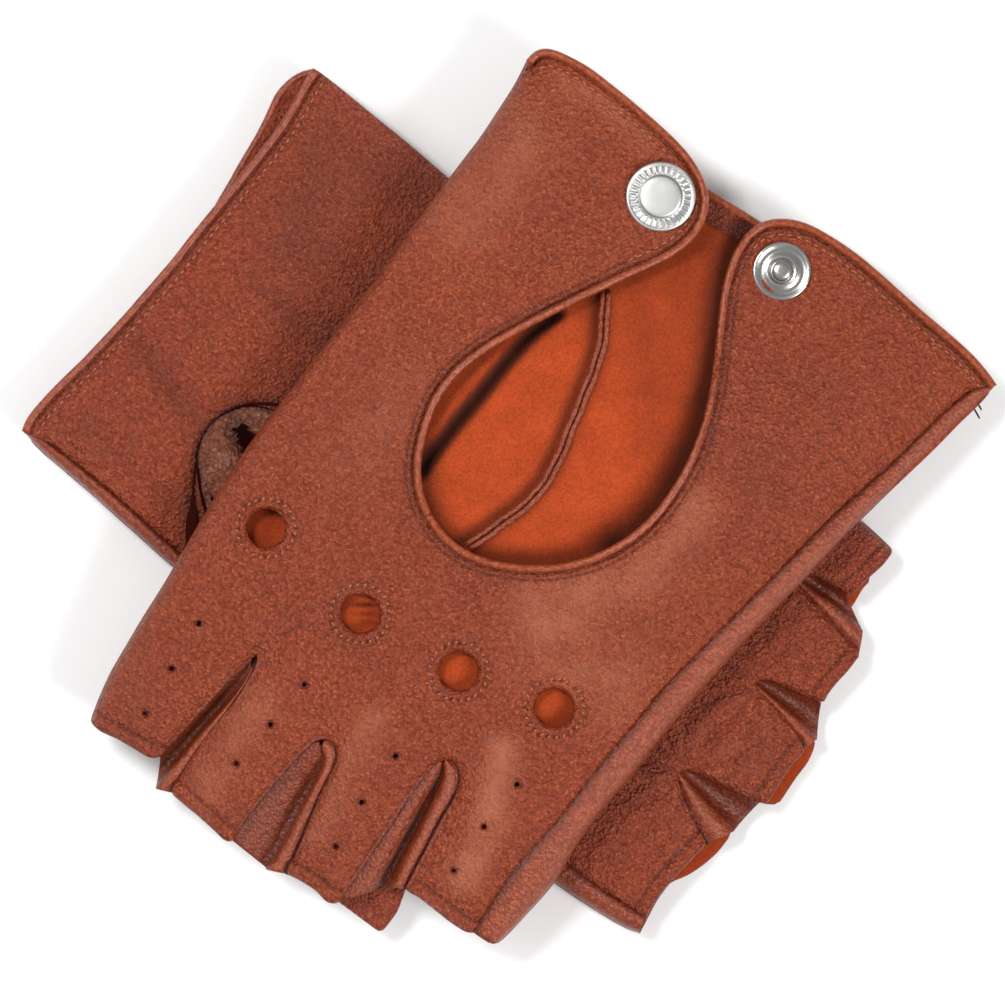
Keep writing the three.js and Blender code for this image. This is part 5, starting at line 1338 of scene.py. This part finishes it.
def suede(name, base, dark, sheen=0.25, shine=0.15):
    m, nt, b = new_mat(name)
    tc = nt.nodes.new("ShaderNodeTexCoord").outputs["Object"]
    f = node(nt, "ShaderNodeTexNoise", Scale=1900.0, Detail=3.0, Roughness=0.7)
    mid = node(nt, "ShaderNodeTexNoise", Scale=150.0, Detail=4.0, Roughness=0.6)
    for n in (f, mid):
        nt.links.new(tc, n.inputs["Vector"])
    c = ramp_n(nt, f.outputs["Fac"], [(0.3, tuple(x * 0.70 for x in base)), (0.7, tuple(x * 1.25 for x in base))])
    v = ramp_n(nt, mid.outputs["Fac"], [(0.3, (0.86,) * 3), (0.7, (1.12,) * 3)])
    c = mix_rgb(nt, "MULTIPLY", 1.0, c, v)
    at = nt.nodes.new("ShaderNodeAttribute"); at.attribute_name = "shade"
    s = math_n(nt, "SUBTRACT", 1.0, at.outputs["Fac"])
    # shade under 1 mixes toward the dark colour: painted shade
    c = mix_rgb(nt, "MIX", s, c, (*dark, 1))
    nt.links.new(c, b.inputs["Base Color"])
    bp = node(nt, "ShaderNodeBump", Strength=0.5, Distance=0.0002)
    nt.links.new(f.outputs["Fac"], bp.inputs["Height"])
    nt.links.new(bp.outputs[0], b.inputs["Normal"])
    b.inputs["Roughness"].default_value = 0.92
    b.inputs["Specular IOR Level"].default_value = shine
    b.inputs["Sheen Weight"].default_value = sheen
    b.inputs["Sheen Roughness"].default_value = 0.5
    b.inputs["Sheen Tint"].default_value = (1.0, 0.55, 0.35, 1)

def metal(name, base, rough, var=0.1):
    m, nt, b = new_mat(name)
    tc = nt.nodes.new("ShaderNodeTexCoord").outputs["Object"]
    f = node(nt, "ShaderNodeTexNoise", Scale=1500.0, Detail=4.0, Roughness=0.7)
    g_ = node(nt, "ShaderNodeTexNoise", Scale=260.0, Detail=2.0)
    nt.links.new(tc, f.inputs["Vector"]); nt.links.new(tc, g_.inputs["Vector"])
    c = ramp_n(nt, g_.outputs["Fac"], [(0.3, tuple(x * 0.9 for x in base)), (0.7, tuple(min(1, x * 1.06) for x in base))])
    at = nt.nodes.new("ShaderNodeAttribute"); at.attribute_name = "shade"
    s = math_n(nt, "SUBTRACT", 1.0, at.outputs["Fac"])
    # shade under 1 mixes toward a dark grey: painted shade in the snaps' grooves
    c = mix_rgb(nt, "MIX", s, c, (0.10, 0.09, 0.085, 1))
    nt.links.new(c, b.inputs["Base Color"])
    b.inputs["Metallic"].default_value = 1.0
    r = math_n(nt, "MULTIPLY_ADD", f.outputs["Fac"], var, rough)
    nt.links.new(r, b.inputs["Roughness"])
    bp = node(nt, "ShaderNodeBump", Strength=0.25, Distance=0.00006)
    nt.links.new(f.outputs["Fac"], bp.inputs["Height"])
    nt.links.new(bp.outputs[0], b.inputs["Normal"])

def thread(name, base):
    m, nt, b = new_mat(name)
    tc = nt.nodes.new("ShaderNodeTexCoord").outputs["Object"]
    w = node(nt, "ShaderNodeTexNoise", Scale=3200.0, Detail=2.0)
    nt.links.new(tc, w.inputs["Vector"])
    c = ramp_n(nt, w.outputs["Fac"], [(0.35, tuple(x * 0.6 for x in base)), (0.65, tuple(x * 1.35 for x in base))])
    nt.links.new(c, b.inputs["Base Color"])
    bp = node(nt, "ShaderNodeBump", Strength=0.5, Distance=0.0001)
    nt.links.new(w.outputs["Fac"], bp.inputs["Height"])
    nt.links.new(bp.outputs[0], b.inputs["Normal"])
    b.inputs["Roughness"].default_value = 0.7

# the right glove's leathers are mixed darker than the left's: painted shade for the lower glove that gets less light
leather("left_leather", (0.288, 0.0465, 0.0105), (0.045, 0.006, 0.003), bump=1.0, rough=0.33, glint=1.0)
# the roll leathers are mixed lighter than the panels: a painted highlight along the rolls
leather("left_roll_leather", (0.330, 0.068, 0.022), (0.05, 0.007, 0.003), bump=0.18, rough=0.34)
leather("right_roll_leather", (0.285, 0.052, 0.016), (0.05, 0.007, 0.003), bump=0.22, rough=0.36)
leather("right_leather", (0.272, 0.042, 0.0095), (0.035, 0.005, 0.002), bump=0.95, rough=0.35, glint=0.9)
leather("left_trim_leather", (0.285, 0.052, 0.0145), (0.035, 0.005, 0.003), bump=0.45, rough=0.36)
leather("right_trim_leather", (0.250, 0.043, 0.012), (0.035, 0.005, 0.003), bump=0.45, rough=0.36)
leather("left_thumb_leather", (0.32, 0.085, 0.036), (0.02, 0.005, 0.003), grain=900, bump=0.8, mottled=1.0)
leather("right_thumb_leather", (0.20, 0.052, 0.018), (0.008, 0.001, 0.001), grain=1000, bump=1.0, mottled=0.8, glint=0.95, light=(0.42, 0.21, 0.14))
suede("suede", (0.385, 0.052, 0.0115), (0.012, 0.002, 0.001))
# a near-black, low-shine material laid where there is only shade: painted shade
suede("painted_shade_black", (0.034, 0.004, 0.002), (0.010, 0.001, 0.001), sheen=0.01, shine=0.04)
metal("nickel_m", (0.50, 0.49, 0.47), 0.20)
metal("cap_metal", (0.55, 0.545, 0.53), 0.36, 0.15)
thread("thread", (0.36, 0.11, 0.05))
thread("thread_dark", (0.085, 0.018, 0.009))
thread("thread_black", (0.012, 0.009, 0.008))

# ---------------------------------------------------------------- build
left = Glove("left", TAB["L"], LEFT_AXIS, LEFT_BASE, 1)
right = Glove("right", TAB["R"], RIGHT_AXIS, RIGHT_TOP, -1)
WEBS = ("ring_little_web", "middle_ring_web", "index_middle_web")
for g, fine_back, fine_palm in ((left, True, False), (right, False, True)):
    prepare(g)
    build_back(g, 0.95 if fine_back else 1.7, fine_back)
    build_palm(g, 1.1 if not fine_palm else 0.95, fine_palm)
    side_strip(g, g.seamL, g.edgeL, g.side + "_little_strip", g.side + "_little_side", True, False)
    side_strip(g, g.seamI, g.edgeI, g.side + "_index_strip", g.side + "_index_side", False, True)
    for i, w in enumerate(WEBS):
        build_web(g, i, "web" + str(i + 1), w, fine_back)
    build_binding(g, fine_back)
    build_palm_hem(g, fine_palm)
    build_snaps(g)
    build_knuckles(g, fine_back)
    build_hems(g, True)
    build_thumb(g)
build_thumb_seam(right)
for g in (left, right):
    parts = []
    for side, line, zt in TAILS:
        if side == g.side:
            l = soften(arr(line), 1, 0.4)
            parts.append(tube(np.column_stack([l, g.z(l, np.full(len(l), zt)) + 0.5 * np.sin(np.linspace(0, 3.0, len(l)))]), 0.42, 0.42, 6, taper=0.2))
    if parts:
        v, f, _ = join_parts(parts)
        make(g.side + "_thread_tails", v, f, ["thread_black"], body=g.main, slot=g.leather)

# ---------------------------------------------------------------- stage
def floor():
    me = bpy.data.meshes.new("floor")
    s = 2.0
    me.from_pydata([(-s, -s, 0), (s, -s, 0), (s, s, 0), (-s, s, 0)], [], [(0, 1, 2, 3)])
    m = bpy.data.materials.new("floor_white")
    m.use_nodes = True
    b = m.node_tree.nodes["Principled BSDF"]
    b.inputs["Base Color"].default_value = (0.97, 0.97, 0.97, 1)
    b.inputs["Roughness"].default_value = 0.9
    b.inputs["Specular IOR Level"].default_value = 0.1
    me.materials.append(m)
    ob = bpy.data.objects.new("floor", me)
    bpy.context.scene.collection.objects.link(ob)
    ob.location = (0, 0, -0.0006)

floor()

def area(name, loc, target, size, power, color=(1, 1, 1)):
    l = bpy.data.lights.new(name, "AREA")
    l.shape = "DISK"
    l.size = size
    l.energy = power
    l.color = color
    o = bpy.data.objects.new(name, l)
    bpy.context.scene.collection.objects.link(o)
    o.location = loc
    o.rotation_euler = (Vector(target) - Vector(loc)).to_track_quat("-Z", "Y").to_euler()
    return o

area("key", (0.75, -0.55, 0.95), (0, 0, 0.01), 0.50, 12)
area("fill", (-0.9, 0.5, 0.9), (0, 0, 0.01), 0.9, 5.5)
area("top", (-0.28, 0.22, 0.85), (-0.03, 0, 0.01), 0.22, 3.8)

w = bpy.data.worlds.new("studio")
bpy.context.scene.world = w
w.use_nodes = True
w.node_tree.nodes["Background"].inputs[0].default_value = (1, 1, 1, 1)
w.node_tree.nodes["Background"].inputs[1].default_value = 0.38
bpy.context.scene.view_settings.view_transform = "Standard"
bpy.context.scene.view_settings.look = "None"

cam = bpy.data.cameras.new("camera")
cam.sensor_width = 36.0
cam.lens = 200.0
co = bpy.data.objects.new("camera", cam)
bpy.context.scene.collection.objects.link(co)
D = 218.8 * 200.0 / 36.0 / 1000.0 + 0.018
co.location = (-0.001306, -0.001062, D)
co.rotation_euler = (0, 0, 0)
cam.clip_start = 0.05
cam.clip_end = 10
bpy.context.scene.camera = co
